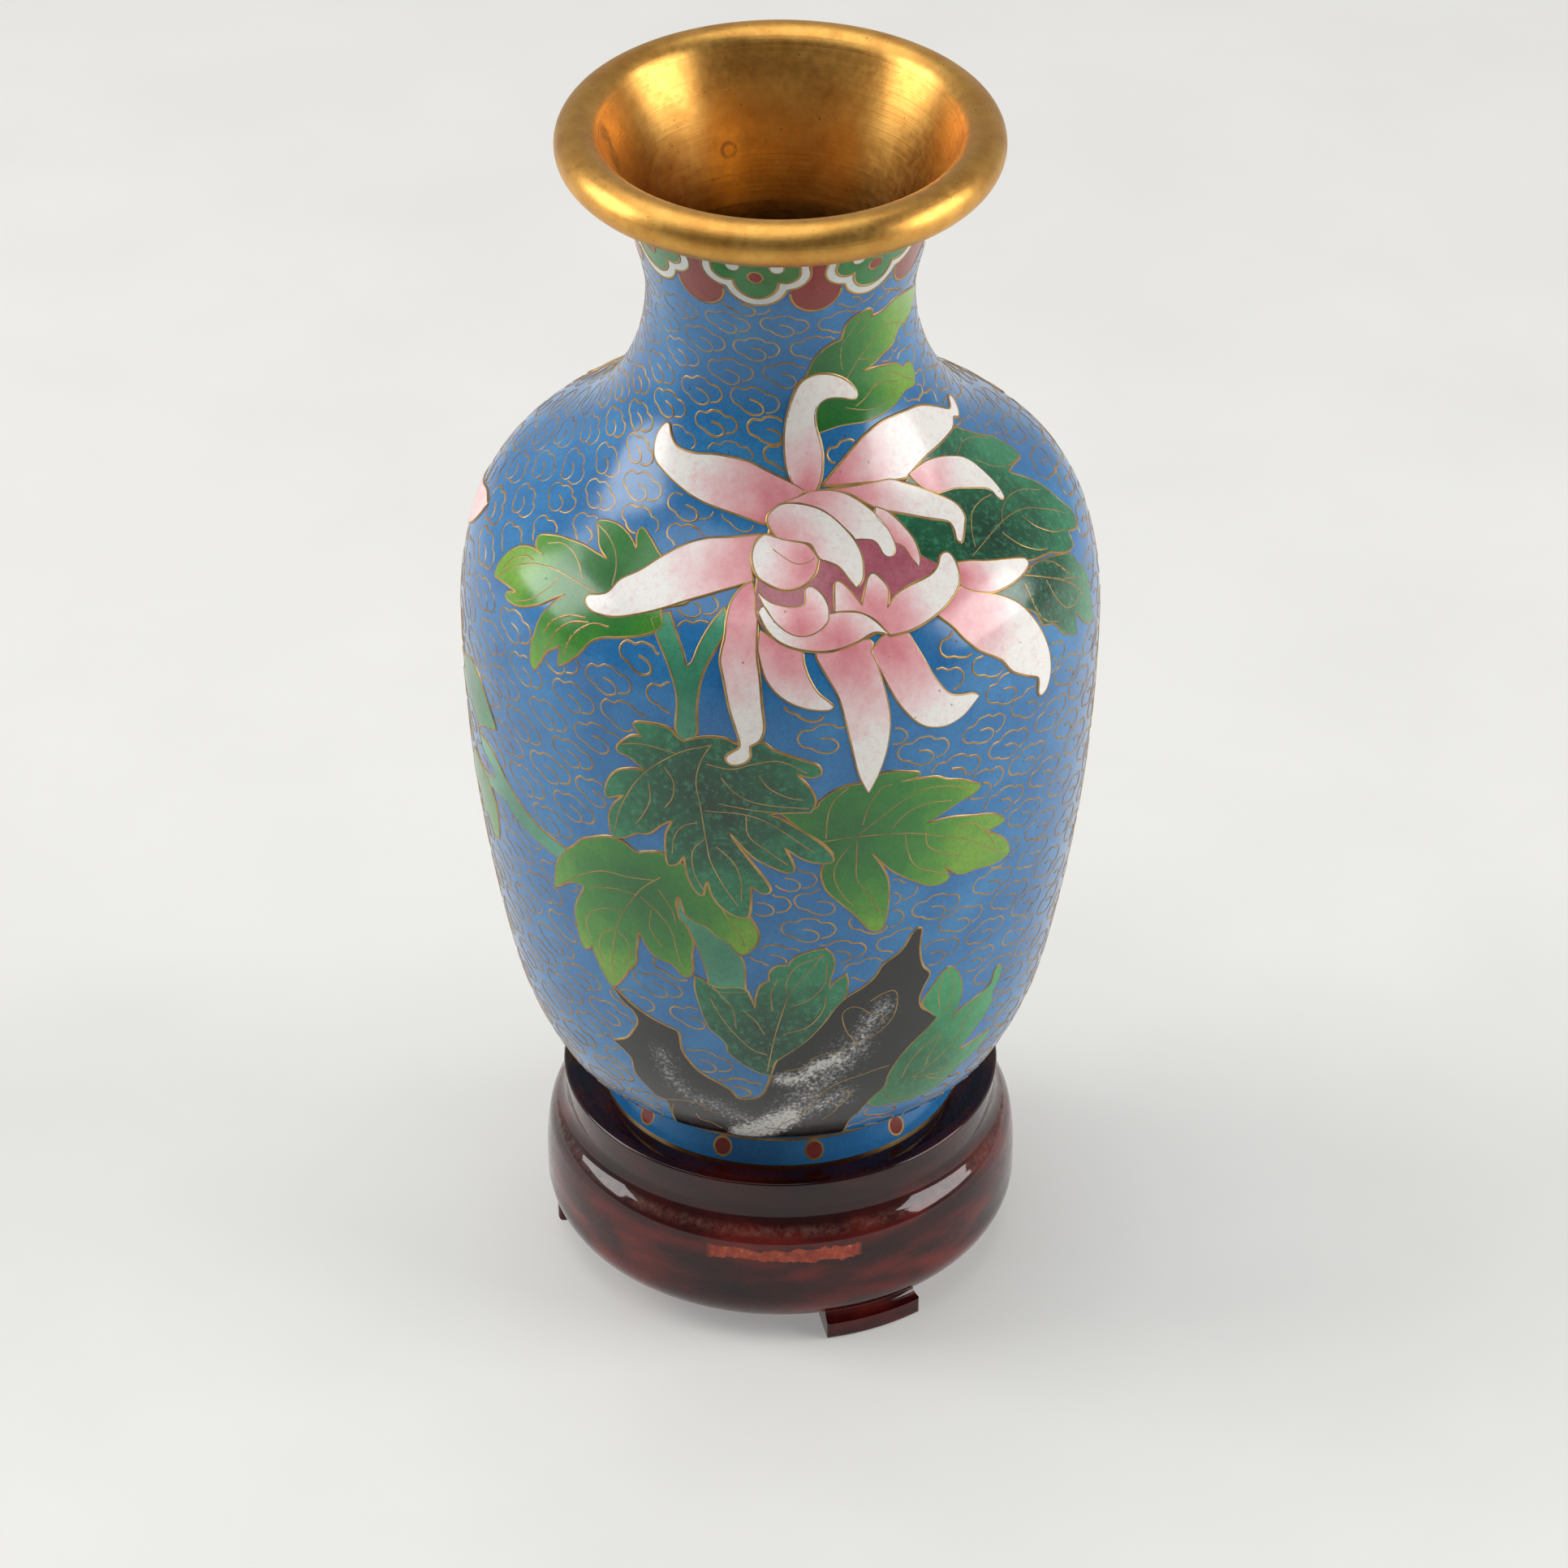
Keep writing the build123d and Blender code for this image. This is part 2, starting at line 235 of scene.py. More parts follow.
# ---------------------------------------------------------------- motif, as (a, s) in mm
# name, enamel, level, heart of the shade, reach of the shade, outline
SHAPES = [
    ("ground_heart", "rose", 3.1, (8, 104), 14, [(-4, 108), (-3, 112), (0, 118), (10, 118),
     (20, 114), (27, 107.5), (28.3, 105.6), (20, 104.5), (15, 100), (5, 99), (-3, 102)]),
    # outer petals
    ("petal_west_high", "petal", 2.6, (0, 118), 26, [(-3.3, 115.7, 1), (-10, 116.8), (-20, 117.9),
     (-30, 119.8), (-34.5, 121), (-36.4, 123.2), (-35.8, 125), (-34, 125.7), (-32, 124.4),
     (-29, 123.4), (-24, 123.3), (-17, 123.9), (-9, 123.7), (-3, 122.5), (3, 121), (6, 119.9, 1),
     (1, 118.4), (-2.4, 117.4)]),
    ("petal_west", "petal", 2.2, (-3, 110.5), 22, [(-3.9, 114.3, 1), (-10, 113.5), (-15, 112.8),
     (-19, 111.3), (-22.5, 108.8), (-25, 106.3), (-27.5, 104.2), (-28.3, 102.2), (-29.5, 101.3),
     (-31.3, 100.6), (-31.5, 99.9), (-30.5, 99.1), (-28.5, 98.9), (-25, 99.6), (-20, 101.7),
     (-15, 104.2), (-10, 106.2), (-7, 107.2), (-4.8, 107.8, 1), (-5.3, 109.5), (-5.6, 111),
     (-5.2, 113)]),
    ("petal_curl", "petal", 2.4, (6, 119), 12, [(4.3, 119.9, 1), (2.2, 122), (1.3, 125),
     (1.5, 128.5), (3, 131.5), (6, 134.3), (10, 135.3), (14, 135.3), (18, 134.7), (22, 133.4),
     (24.3, 131.8), (24, 131), (22.5, 131), (19, 131.6), (15, 131.9), (12, 131.4), (10.5, 130.2),
     (10.3, 128.3), (11.2, 126), (11.3, 124), (10.3, 121.5), (8.5, 119.7, 1)]),
    ("petal_east_high", "petal", 2.0, (12, 120), 24, [(10.3, 120.5, 1), (14, 122.2), (19, 124.1),
     (24, 125.6), (30, 126.5), (36, 126.5), (45, 125.8), (50, 124.7), (55, 123), (59, 121.4),
     (61, 121.3), (63.5, 122), (65, 121.3), (63.8, 119.9), (61, 119.3), (58.5, 120.1), (55, 119.5),
     (48, 119.6), (41, 119.6), (36, 119.1), (32, 118.4, 1), (27, 119), (20, 119.8)]),
    ("petal_east", "petal", 2.6, (11, 119), 26, [(9, 119.8, 1), (15, 119.8), (24, 119.4), (28, 119),
     (31, 117.9), (34.5, 116.3), (37.5, 114.4), (39.5, 112.9), (40.3, 111.5), (39.8, 110),
     (38.2, 109), (36.3, 107.8), (35.3, 107.4), (34.8, 108), (35.7, 109.3), (35.9, 110.4),
     (34.8, 111.2), (31.5, 112.6), (28, 114), (25, 115), (22.2, 115.8, 1), (20, 117), (16, 118.9)]),
    ("petal_east_low", "petal", 2.2, (33, 117.5), 18, [(33, 118.7, 1), (36, 118.9), (40, 118.9),
     (44, 118.3), (48, 117.2), (51, 115.9), (52.6, 114.2), (53, 112), (52.6, 110), (51.5, 108.4),
     (50.7, 108.2), (50, 109), (50.3, 110), (49.5, 111), (46.5, 112.4), (43, 113.7), (39.9, 114.3),
     (37.8, 114.6, 1), (35, 116.3)]),
    ("petal_south_east_tip", "petal", 2.0, (31, 103.4), 9, [(32, 105.3, 1), (34.5, 104.7),
     (38, 103.3), (42, 101.8), (44.3, 100.7), (44.2, 99.8), (42, 99.3), (38.5, 99.2), (35, 99.6),
     (32, 100.9), (30.3, 102.3, 1), (31.3, 103.8)]),
    ("petal_south_east", "petal", 2.2, (27, 100), 14, [(24.4, 100, 1), (28, 101.5),
     (30.3, 102.3, 1), (32, 100.9), (34.5, 99.6), (37, 98), (39, 96), (40.5, 93.5), (41.8, 90.5),
     (42.5, 87.5), (42.3, 84.5), (41.3, 82.6), (40, 82.1), (39.4, 82.8), (39.6, 84.5), (39.3, 85.3),
     (37, 86.7), (34.5, 88.5), (33.2, 90.5), (32, 91.6), (29.5, 93.5), (27.5, 95.8), (26.3, 97.8)]),
    ("petal_south_west", "petal", 3.0, (-5, 106.5), 20, [(-5, 107.7, 1), (-6.5, 106.9), (-7.9, 105),
     (-8.3, 102.5), (-8.2, 100), (-8.5, 97), (-7.8, 94.5), (-6.8, 90.5), (-5.8, 87.5), (-5.3, 85.3),
     (-6.5, 84.2), (-7.2, 83.4), (-6.8, 82.6), (-5.8, 82.4), (-4.5, 83), (-3.9, 84), (-4, 85.3),
     (-2.8, 86.2), (-2.2, 88), (-2.5, 91), (-2.9, 95), (-3.4, 98), (-3.6, 103), (-4.2, 106)]),
    ("petal_south_small", "petal", 2.2, (0, 99.5), 11, [(-3, 101, 1), (-3.2, 99), (-2.9, 97.5),
     (-2, 95), (-0.5, 93), (1.5, 91.6), (4, 90.7), (6.5, 90.4), (7.1, 90.8, 1), (6.3, 91.6),
     (5, 92.8), (3.8, 95), (3.2, 97), (3.2, 98.2, 1), (0, 99.5)]),
    ("petal_south", "petal", 2.4, (9, 98.5), 15, [(5.2, 98.3, 1), (5.2, 97.5), (6.5, 95), (8, 92),
     (8.8, 88.5), (9.5, 85), (10.4, 80.5), (11.7, 77.2, 1), (13.3, 80.8), (14.3, 84.5), (14.7, 88),
     (14.3, 92), (13.6, 95.5), (13, 97.7, 1), (13, 99)]),
    ("petal_south_wide", "petal", 2.2, (15.5, 97.5), 13, [(13, 97.5, 1), (14, 95), (15, 92.5),
     (16.5, 89.5), (18.5, 86.8), (20.5, 85.4), (23, 84.9), (25.5, 85.5), (27.5, 86.8),
     (28.3, 87.4, 1), (27.3, 88), (25.5, 88.4), (24, 88.9), (22.8, 90.2), (21.5, 92.5), (20.5, 95),
     (19, 98.8, 1), (16, 99.3)]),
    ("petal_far_west", "petal", 2.7, (180, 91), 52, [(208.3, 98.3, 1), (204.3, 98.1), (199.8, 96.4),
     (193.8, 94.4), (186.8, 93.2), (176.8, 92.6, 1), (181.8, 89.4), (188.8, 88.6), (195.8, 89),
     (201.8, 91), (205.8, 93.6), (207.8, 96)]),
    # inner petals
    ("petal_cup_east", "petal", 3.3, (22, 110), 9, [(21.7, 116.3, 1), (24, 115.2), (25.8, 113),
     (26.7, 110.5), (26.1, 108), (25.1, 106.7, 1), (24.5, 108.2), (24.1, 110), (22.7, 110.9, 1),
     (22.4, 113), (21, 115)]),
    ("petal_cup_high", "petal", 3.5, (4, 115), 17, [(7.5, 119.8, 1), (12, 119.6), (16, 118.6),
     (19.5, 116.6), (21.8, 114.3), (22.6, 112), (22.2, 110), (20.8, 109.3), (19.8, 109.8),
     (19.5, 111.2), (18.7, 112.1), (16.5, 112.6), (15.2, 112.7, 1), (14.6, 113.6), (12, 115.9),
     (9, 117.5), (5, 118.4), (1, 118.6, 1)]),
    ("petal_hood", "petal", 4.2, (1, 110), 12, [(-2.9, 116.2), (-1.5, 117.7), (1, 118.4),
     (5, 118.2), (9, 117.3), (12, 115.7), (14.5, 113.2), (15.4, 111), (15.2, 109), (14.3, 107),
     (12.9, 106.1, 1), (12.1, 107.4), (10.8, 109.3), (9, 110.2), (7.4, 110.8), (6.3, 112.6),
     (5, 113.1), (2, 113.5), (-0.5, 113.8)]),
    ("petal_bud", "petal", 4.6, (5, 110), 10, [(-5.4, 111), (-5, 113), (-3.3, 114.2), (-1, 113.9),
     (2, 113.4), (5, 112.9), (6.6, 111.6), (7.2, 110.7, 1), (6.4, 109), (5, 107.8), (3, 106.9),
     (0.5, 106.7), (-2, 107.4), (-4.2, 108.6)]),
    ("petal_cup_west", "petal", 4.4, (3, 102), 7, [(-3.8, 106.2, 1), (-2, 105), (0, 104.4),
     (2.5, 104.1), (4, 104.6), (4.2, 105.8), (4.3, 106.6), (5.3, 106.9), (6.8, 105.8), (7.6, 104),
     (7.2, 102), (5.5, 100.8), (3.5, 100.3), (1.5, 100.7), (-0.5, 102), (-2.3, 104)]),
    ("petal_cup_low", "petal", 4.1, (8, 99), 9, [(-3.5, 103.5, 1), (-2, 101.2), (0, 99.6),
     (3, 98.6), (7, 98.2), (11, 98.9), (13.8, 99.8), (16, 99.3, 1), (14.5, 101.2), (12.5, 102.6),
     (9.5, 103.1), (7.6, 103, 1), (7.2, 102), (5.5, 100.8), (3.5, 100.3), (1.5, 100.7),
     (-0.8, 102.3), (-2.6, 104.4)]),
    ("petal_crown", "petal", 4.3, (15, 101), 11, [(8.6, 103.2, 1), (9, 105.5), (9.5, 107.2),
     (10.4, 107.2), (11.6, 106), (13.1, 103.6, 1), (14.2, 105.5), (15.4, 107.2), (16.6, 107.6),
     (17.8, 106.2), (18.1, 104.8), (17, 102.6, 1), (19, 104), (22, 104.7), (26, 105.1),
     (28.3, 105.9), (30, 107.1), (31.6, 107), (31.8, 105.5), (30.6, 103.1), (28, 101.4),
     (24.5, 100.1), (20, 99.1), (16.3, 99, 1), (14.6, 101.3), (12.5, 102.7), (10.5, 103.1)]),
    # leaves behind the flower
    ("leaf_east", "leaf_dark", 1.0, (40, 106), 24, [(22.3, 116, 1), (36, 118.9), (42, 119.6),
     (55, 119.3), (58.5, 117.9), (62, 115.6), (66, 113, 1), (67, 110.5), (66, 108.2), (62, 109),
     (58.5, 109.4, 1), (60.5, 107), (61.8, 104.5), (61.8, 101), (62.5, 98), (60.5, 96.8),
     (57.5, 98, 1), (56.5, 96.2), (53.5, 96.8), (50, 98.8, 1), (44.5, 100.3), (38, 103.3),
     (32, 105.3), (28.3, 105.6), (26, 107.7), (26.8, 110.5), (25, 114.8)]),
    ("leaf_south_east", "leaf_dark", 1.2, (44, 97), 14, [(41.3, 99.2, 1), (44, 99.4), (47, 98.9),
     (50, 98), (54.5, 95.8), (55.5, 94), (57.3, 91.8), (57.6, 89.5), (57.3, 87), (57.5, 84, 1),
     (55, 84.8), (52.5, 87), (51, 89), (50.3, 86, 1), (48.5, 87), (46.5, 88.3), (45, 90.4),
     (42.2, 91.7, 1), (41.3, 94), (39.5, 95.5), (37, 98), (35, 99.4, 1), (38, 99)]),
    ("leaf_west", "leaf_light", 1.0, (-30, 104), 18, [(-38.7, 109.7), (-36.9, 110.4),
     (-34.8, 110.7), (-32.3, 110.5), (-29.8, 109.8), (-27.5, 108.6, 1), (-29.2, 110.6),
     (-29.3, 111.6), (-28.2, 111.6), (-25.7, 110.6), (-23, 109.2), (-18, 107), (-15, 104),
     (-18.8, 102.2), (-18, 100), (-20.1, 98.4), (-24, 97), (-26.1, 96.4), (-28.2, 95.2),
     (-29.8, 92.9), (-31.1, 91.4), (-33, 89.8, 1), (-33.2, 92.7, 1), (-35.3, 91), (-36.3, 89.1),
     (-37.3, 87.3, 1), (-38.2, 88.1), (-38.6, 90.2), (-38.4, 92.3), (-38, 94.8), (-36.9, 97),
     (-35.3, 99.3, 1), (-36.9, 98.1), (-38.6, 96.6), (-41.1, 95), (-43.6, 93.9), (-46.1, 93.6),
     (-46.7, 94.2), (-44.4, 95.4, 1), (-46.9, 95.2), (-49.4, 94.8), (-51.1, 94.5, 1), (-51.3, 96.4),
     (-50.7, 98.1), (-49.4, 100), (-47.3, 101.2), (-45.3, 101.6), (-43.4, 101.7, 1), (-45.7, 101.8),
     (-47.1, 102.7), (-46.9, 103.5), (-44, 104.8), (-41.1, 105.5), (-37.8, 106), (-34.8, 106),
     (-31.7, 105.9, 1), (-34.8, 107), (-36.9, 108.5)]),
    ("leaf_neck", "leaf_light", 1.0, (14, 134), 30, [(5, 132, 1), (6.5, 133.9), (8.3, 135.3),
     (10.4, 137.2), (13.3, 138.7), (16.7, 139.5), (20, 139.8, 1), (21.3, 142), (23.3, 143),
     (26.7, 143.5), (29.6, 143.5), (31.1, 142.8), (30.6, 142, 1), (35, 142), (41.7, 142.8),
     (50, 142.2), (58.3, 140.8), (62, 139.6, 1), (58, 138.2), (50, 137.4), (45.8, 137.4),
     (43.8, 136.8), (41.3, 135.8), (35.4, 135.1), (30.8, 134.5), (27.4, 134.2, 1), (32.5, 134),
     (39.2, 133.3), (42.1, 132.8), (45, 131.6), (47.5, 131.7), (49.2, 131.4), (50.2, 130.3),
     (48.3, 128.5), (42.9, 128.7), (35.8, 127.8), (26.7, 127.5), (17.9, 127.9), (10, 127.4, 1),
     (9, 130)]),
    # stems and leaves on the belly
    ("stem", "stem", 0.6, (-13, 92), 14, [(-12.9, 84.7), (-14, 86.5), (-14, 90), (-14.5, 92.5),
     (-16, 95.5), (-18.3, 98.5), (-20, 100.5, 1), (-17.4, 102, 1), (-14.5, 97.9), (-13.3, 95.5, 1),
     (-12.5, 96), (-11.8, 98.5), (-10.5, 101.5), (-8.9, 104, 1), (-8.3, 102), (-8.5, 100),
     (-10, 97), (-11, 94), (-11.3, 90), (-11.2, 86.3)]),
    ("leaf_middle", "leaf_dark", 2.0, (-9, 76), 18, [(-12.9, 85, 1), (-11, 85.8), (-9, 86.2),
     (-7, 86.1), (-5.5, 85.5), (-2.2, 86, 1), (-1, 84.9), (1, 84), (3.5, 83), (5, 82.2), (5.3, 81),
     (3.8, 80.6), (2, 81.3, 1), (4, 78.5), (4.6, 76.5), (4, 75, 1), (0, 75), (-1.5, 74.7, 1),
     (0, 74), (3, 71.8), (5.5, 69.5), (7, 67.4), (6.8, 66.4), (5, 66.5), (3, 67.3), (0.5, 69.3, 1),
     (1.5, 67), (1.8, 65.5), (1, 65), (-2, 66.5), (-4, 68), (-6.8, 71.5, 1), (-6, 70), (-4, 66.8),
     (-2.2, 64), (-1.3, 62), (-2, 61.4), (-3, 61.8), (-4, 62.8, 1), (-4, 60), (-4.4, 57.3),
     (-6, 57.2), (-8, 58.5), (-9.3, 60.5), (-9.8, 62.9, 1), (-10.2, 62), (-10.6, 60.2), (-11.7, 61),
     (-12.7, 63.5), (-13, 66.6, 1), (-13.9, 65), (-15.3, 64.5), (-15.6, 66.5), (-15.5, 69.5),
     (-14.4, 72.2, 1), (-16, 71), (-18, 69), (-19.8, 68.5), (-21.5, 67.3), (-23.4, 66.7), (-24, 69),
     (-23.5, 71.5), (-21.5, 74.3, 1), (-23, 73.5), (-24.3, 73), (-24.2, 75), (-22.8, 77.5),
     (-20.5, 78.8), (-18.2, 79.2, 1), (-20.5, 80.7), (-22.2, 81), (-22.3, 82), (-20.3, 84),
     (-18.7, 84.3, 1), (-20, 86), (-17.5, 86.6), (-15, 86.5), (-13.8, 85.5)]),
    ("leaf_low_east", "leaf_light", 1.0, (9, 71), 20, [(0, 75, 1), (4.6, 75.5), (5.2, 76.5),
     (7, 78), (9, 78.7), (10.9, 78.8), (12.6, 79.5), (14.5, 79.9), (17, 79.3), (18.9, 78.6),
     (18.4, 78.1), (16, 78, 1), (21, 77.3), (23, 76.2), (25.5, 75.2), (27.5, 73.9), (28.6, 73),
     (27.5, 72.2), (25, 71.8), (22.5, 70.9), (20, 70, 1), (24, 69.6), (28, 68.3), (31, 67.2),
     (33, 65.7), (33.2, 64.8), (30, 64.7, 1), (32, 63.3), (34, 61.3), (35, 59.5), (34.8, 58.5),
     (32, 58.3), (29, 58.9), (26.5, 59.1), (25, 59.9), (23.3, 61.7, 1), (24.2, 59.3), (23, 58.8),
     (21, 59.2), (19, 60.5), (17, 62), (15, 63.8), (12.2, 67.2, 1), (13.5, 65), (14.6, 62.5),
     (15, 59.5), (14.8, 55.5), (14, 53.3), (12.5, 53.8), (11.2, 55.5), (10, 57.2), (8, 59.5),
     (6.2, 61.8), (5.5, 64.5), (6, 66.5), (7.2, 67.8, 1), (5.5, 70), (3, 72)]),
    ("leaf_low_west", "leaf_light", 1.2, (-20, 58), 17, [(-30.5, 62), (-29, 63.8), (-27, 65),
     (-24.5, 66.2), (-22, 66.3), (-20, 65.2), (-18, 65.8), (-15.5, 66), (-10, 63), (-6, 59),
     (-4.3, 57.2), (-3.5, 55.7), (-3, 54), (-3.5, 52), (-5, 50.3, 1), (-6, 50.6), (-7, 52),
     (-8.7, 53.2), (-10.3, 54.7), (-12, 55.3), (-13.3, 56.5), (-13.6, 58), (-14, 59.3), (-14.5, 58),
     (-14.1, 55.3, 1), (-13.2, 54.3), (-12.3, 51.6), (-12.6, 49), (-12.6, 46.2), (-13.2, 45),
     (-14.3, 45.1), (-15.5, 46.6), (-17, 47), (-18.7, 47.8), (-19.9, 50), (-20.5, 51.4, 1),
     (-21.2, 47.4), (-21.6, 44.9), (-23, 43), (-24.1, 41.2), (-25.8, 39.1), (-26.8, 39.3),
     (-27.8, 41.2), (-28.7, 43.7), (-29.1, 45.3, 1), (-29.7, 44.3), (-30.8, 43.9), (-31.3, 45.8),
     (-31.6, 49.5), (-31, 52), (-29.5, 54.9), (-29.3, 55.8, 1), (-31.6, 55.3), (-33.7, 53.7),
     (-35.2, 52.6, 1), (-34.8, 55), (-34, 57.6), (-33, 59.2), (-31.8, 60.8)]),
    ("stem_low", "stem", 0.6, (-9, 50), 10, [(-14, 59.3, 1), (-13.2, 57), (-12, 55.4),
     (-10.3, 54.7), (-8.7, 53.2), (-7, 52), (-5.8, 50.2), (-5.1, 48.3), (-5.1, 45.4), (-5, 43.4, 1),
     (-8.7, 43), (-10.3, 43.8, 1), (-10.5, 46.2), (-11.3, 49.6), (-12.3, 52.5), (-13, 54.3),
     (-14.1, 55.2)]),
    ("leaves_rock", "leaf_dark", 1.0, (-2, 33), 16, [(-12.3, 45.3, 1), (-12.4, 43), (-12, 40.5),
     (-11.3, 37.5), (-10.5, 35.5), (-9, 34), (-8.1, 32.8), (-8, 31.5), (-7, 30.2), (-5, 28.6),
     (-2.8, 27.3, 1), (-1.5, 27.2, 1), (-0.9, 29.7), (0.1, 30.7), (2.4, 32.6), (4.5, 34.7),
     (6.6, 37.6), (7.8, 39.7), (9.3, 41.8), (9.7, 44.3), (9.4, 46.1, 1), (8, 45.1), (7.2, 43.8, 1),
     (7, 45.1), (7.6, 48), (7.2, 50.1), (6.2, 51.3, 1), (4.1, 50.9), (2.2, 50.1), (1.2, 48.6, 1),
     (-0.5, 48.4), (-1.5, 47.2), (-1.5, 45.7, 1), (-2.8, 44.7), (-3.5, 42.2), (-3.6, 40.2, 1),
     (-4.4, 42.5), (-5, 43.8), (-6.5, 44.1), (-8.7, 43.7), (-10.2, 44.1, 1), (-11, 44.6)]),
    ("leaves_rock_east", "leaf_mid", 0.8, (22, 24), 16, [(22, 37.2), (23, 39.3), (24.9, 42),
     (25.5, 42.5, 1), (26.8, 42), (28.3, 39.7), (29.1, 37.2), (29.2, 34.7), (28.3, 31.8, 1),
     (29.7, 32.8), (32, 33.4), (34.5, 34), (35.8, 34.8), (36, 36.8), (37, 37.4), (37.8, 36.3),
     (37.6, 34.3), (36.6, 32.6), (37, 30.5), (35.8, 28.4), (34.1, 26.8), (32.4, 25.1),
     (31.2, 23.6, 1), (33.7, 23.8), (36.2, 24), (39, 24.2, 1), (38.2, 22.6), (35.8, 20.5),
     (33.2, 19.3), (30.8, 17.6), (28.3, 16.3), (24.9, 15.9), (22, 16.1), (19.5, 16.8), (17, 17),
     (15.1, 18.8), (17.4, 21.8), (17.8, 24.3), (19.1, 27.2), (21.2, 29.7), (23.7, 31.8),
     (25.1, 33.4, 1), (23.5, 35)]),
    ("stem_west", "stem", 0.6, (-42, 62), 12, [(-54, 69, 1), (-52.8, 68.1), (-49.8, 68.3),
     (-47.3, 67.3), (-44.4, 65.2), (-41.1, 63.3), (-37.3, 61.8), (-33.2, 61), (-30, 60.4, 1),
     (-32, 58, 1), (-36.9, 58.9), (-40.7, 59.5), (-43.6, 60.2), (-46.1, 61.4), (-50, 61),
     (-53, 60.4, 1), (-54, 62.5, 1), (-50.5, 62.6), (-48.6, 63.6), (-49.5, 65.2), (-52.5, 66, 1)]),
    ("leaf_far_west", "leaf_mid", 1.0, (-57, 74), 12, [(-46.7, 72.7, 1), (-48, 74.4), (-50.5, 77),
     (-53, 78.5), (-56, 78.5), (-60, 76.5), (-63, 76, 1), (-61, 74), (-64, 72, 1), (-60, 70.6),
     (-57, 71), (-54, 69.4), (-50.5, 70.8)]),
    ("leaf_far_low", "leaf_light", 1.0, (-56, 58), 10, [(-51, 61), (-49.3, 58), (-49.5, 55),
     (-50.5, 52), (-53, 51.5, 1), (-54.5, 53.5), (-57.5, 52, 1), (-58, 55), (-62, 56, 1), (-61, 59),
     (-58, 62.5), (-54, 62)]),
    ("rock", "rock", 0.3, (0, 0), 1, [(-26.8, 39.3, 1), (-25.3, 38.2), (-23.2, 36.6, 1),
     (-19.5, 34.9), (-17, 34.2), (-15.7, 33.5), (-15.5, 30.3), (-14.5, 28.2), (-12.8, 26.2),
     (-9.9, 24.5), (-8, 23.2), (-7, 21.6), (-5.3, 21.4), (-3.2, 22.4), (-2, 24.9), (-1.2, 28.2),
     (0.1, 31.5), (3, 34.7), (7, 39.7), (9.1, 41.3), (10.3, 42.2), (12, 43.2), (13.7, 44.7),
     (14.9, 46.8), (17, 48.2), (18, 49.3), (18.9, 51.1), (19.7, 52, 1), (20.5, 51.7, 1),
     (20.4, 48.4), (20.8, 45.9), (21.4, 44.3), (22.6, 42.6), (21.8, 40.5), (21.3, 38.4), (22, 36.3),
     (24.1, 34.7), (25.1, 33.4, 1), (23.7, 31.8), (21.2, 29.7), (19.1, 27.2), (17.8, 24.3),
     (17.4, 21.8), (15.1, 18.8), (13.7, 16.3), (12.4, 14.3), (12, 10), (12.4, 2, 1), (-20.5, 2, 1),
     (-20.3, 12), (-20.1, 15), (-20.3, 17.6, 1), (-22, 17.8), (-23.7, 19.9), (-25.1, 22),
     (-25.1, 24.9), (-26.2, 26.2), (-28.2, 27.4, 1), (-25.3, 29.1), (-23.7, 31.2), (-22.6, 33.2),
     (-22.9, 35), (-25, 36.8)]),
]

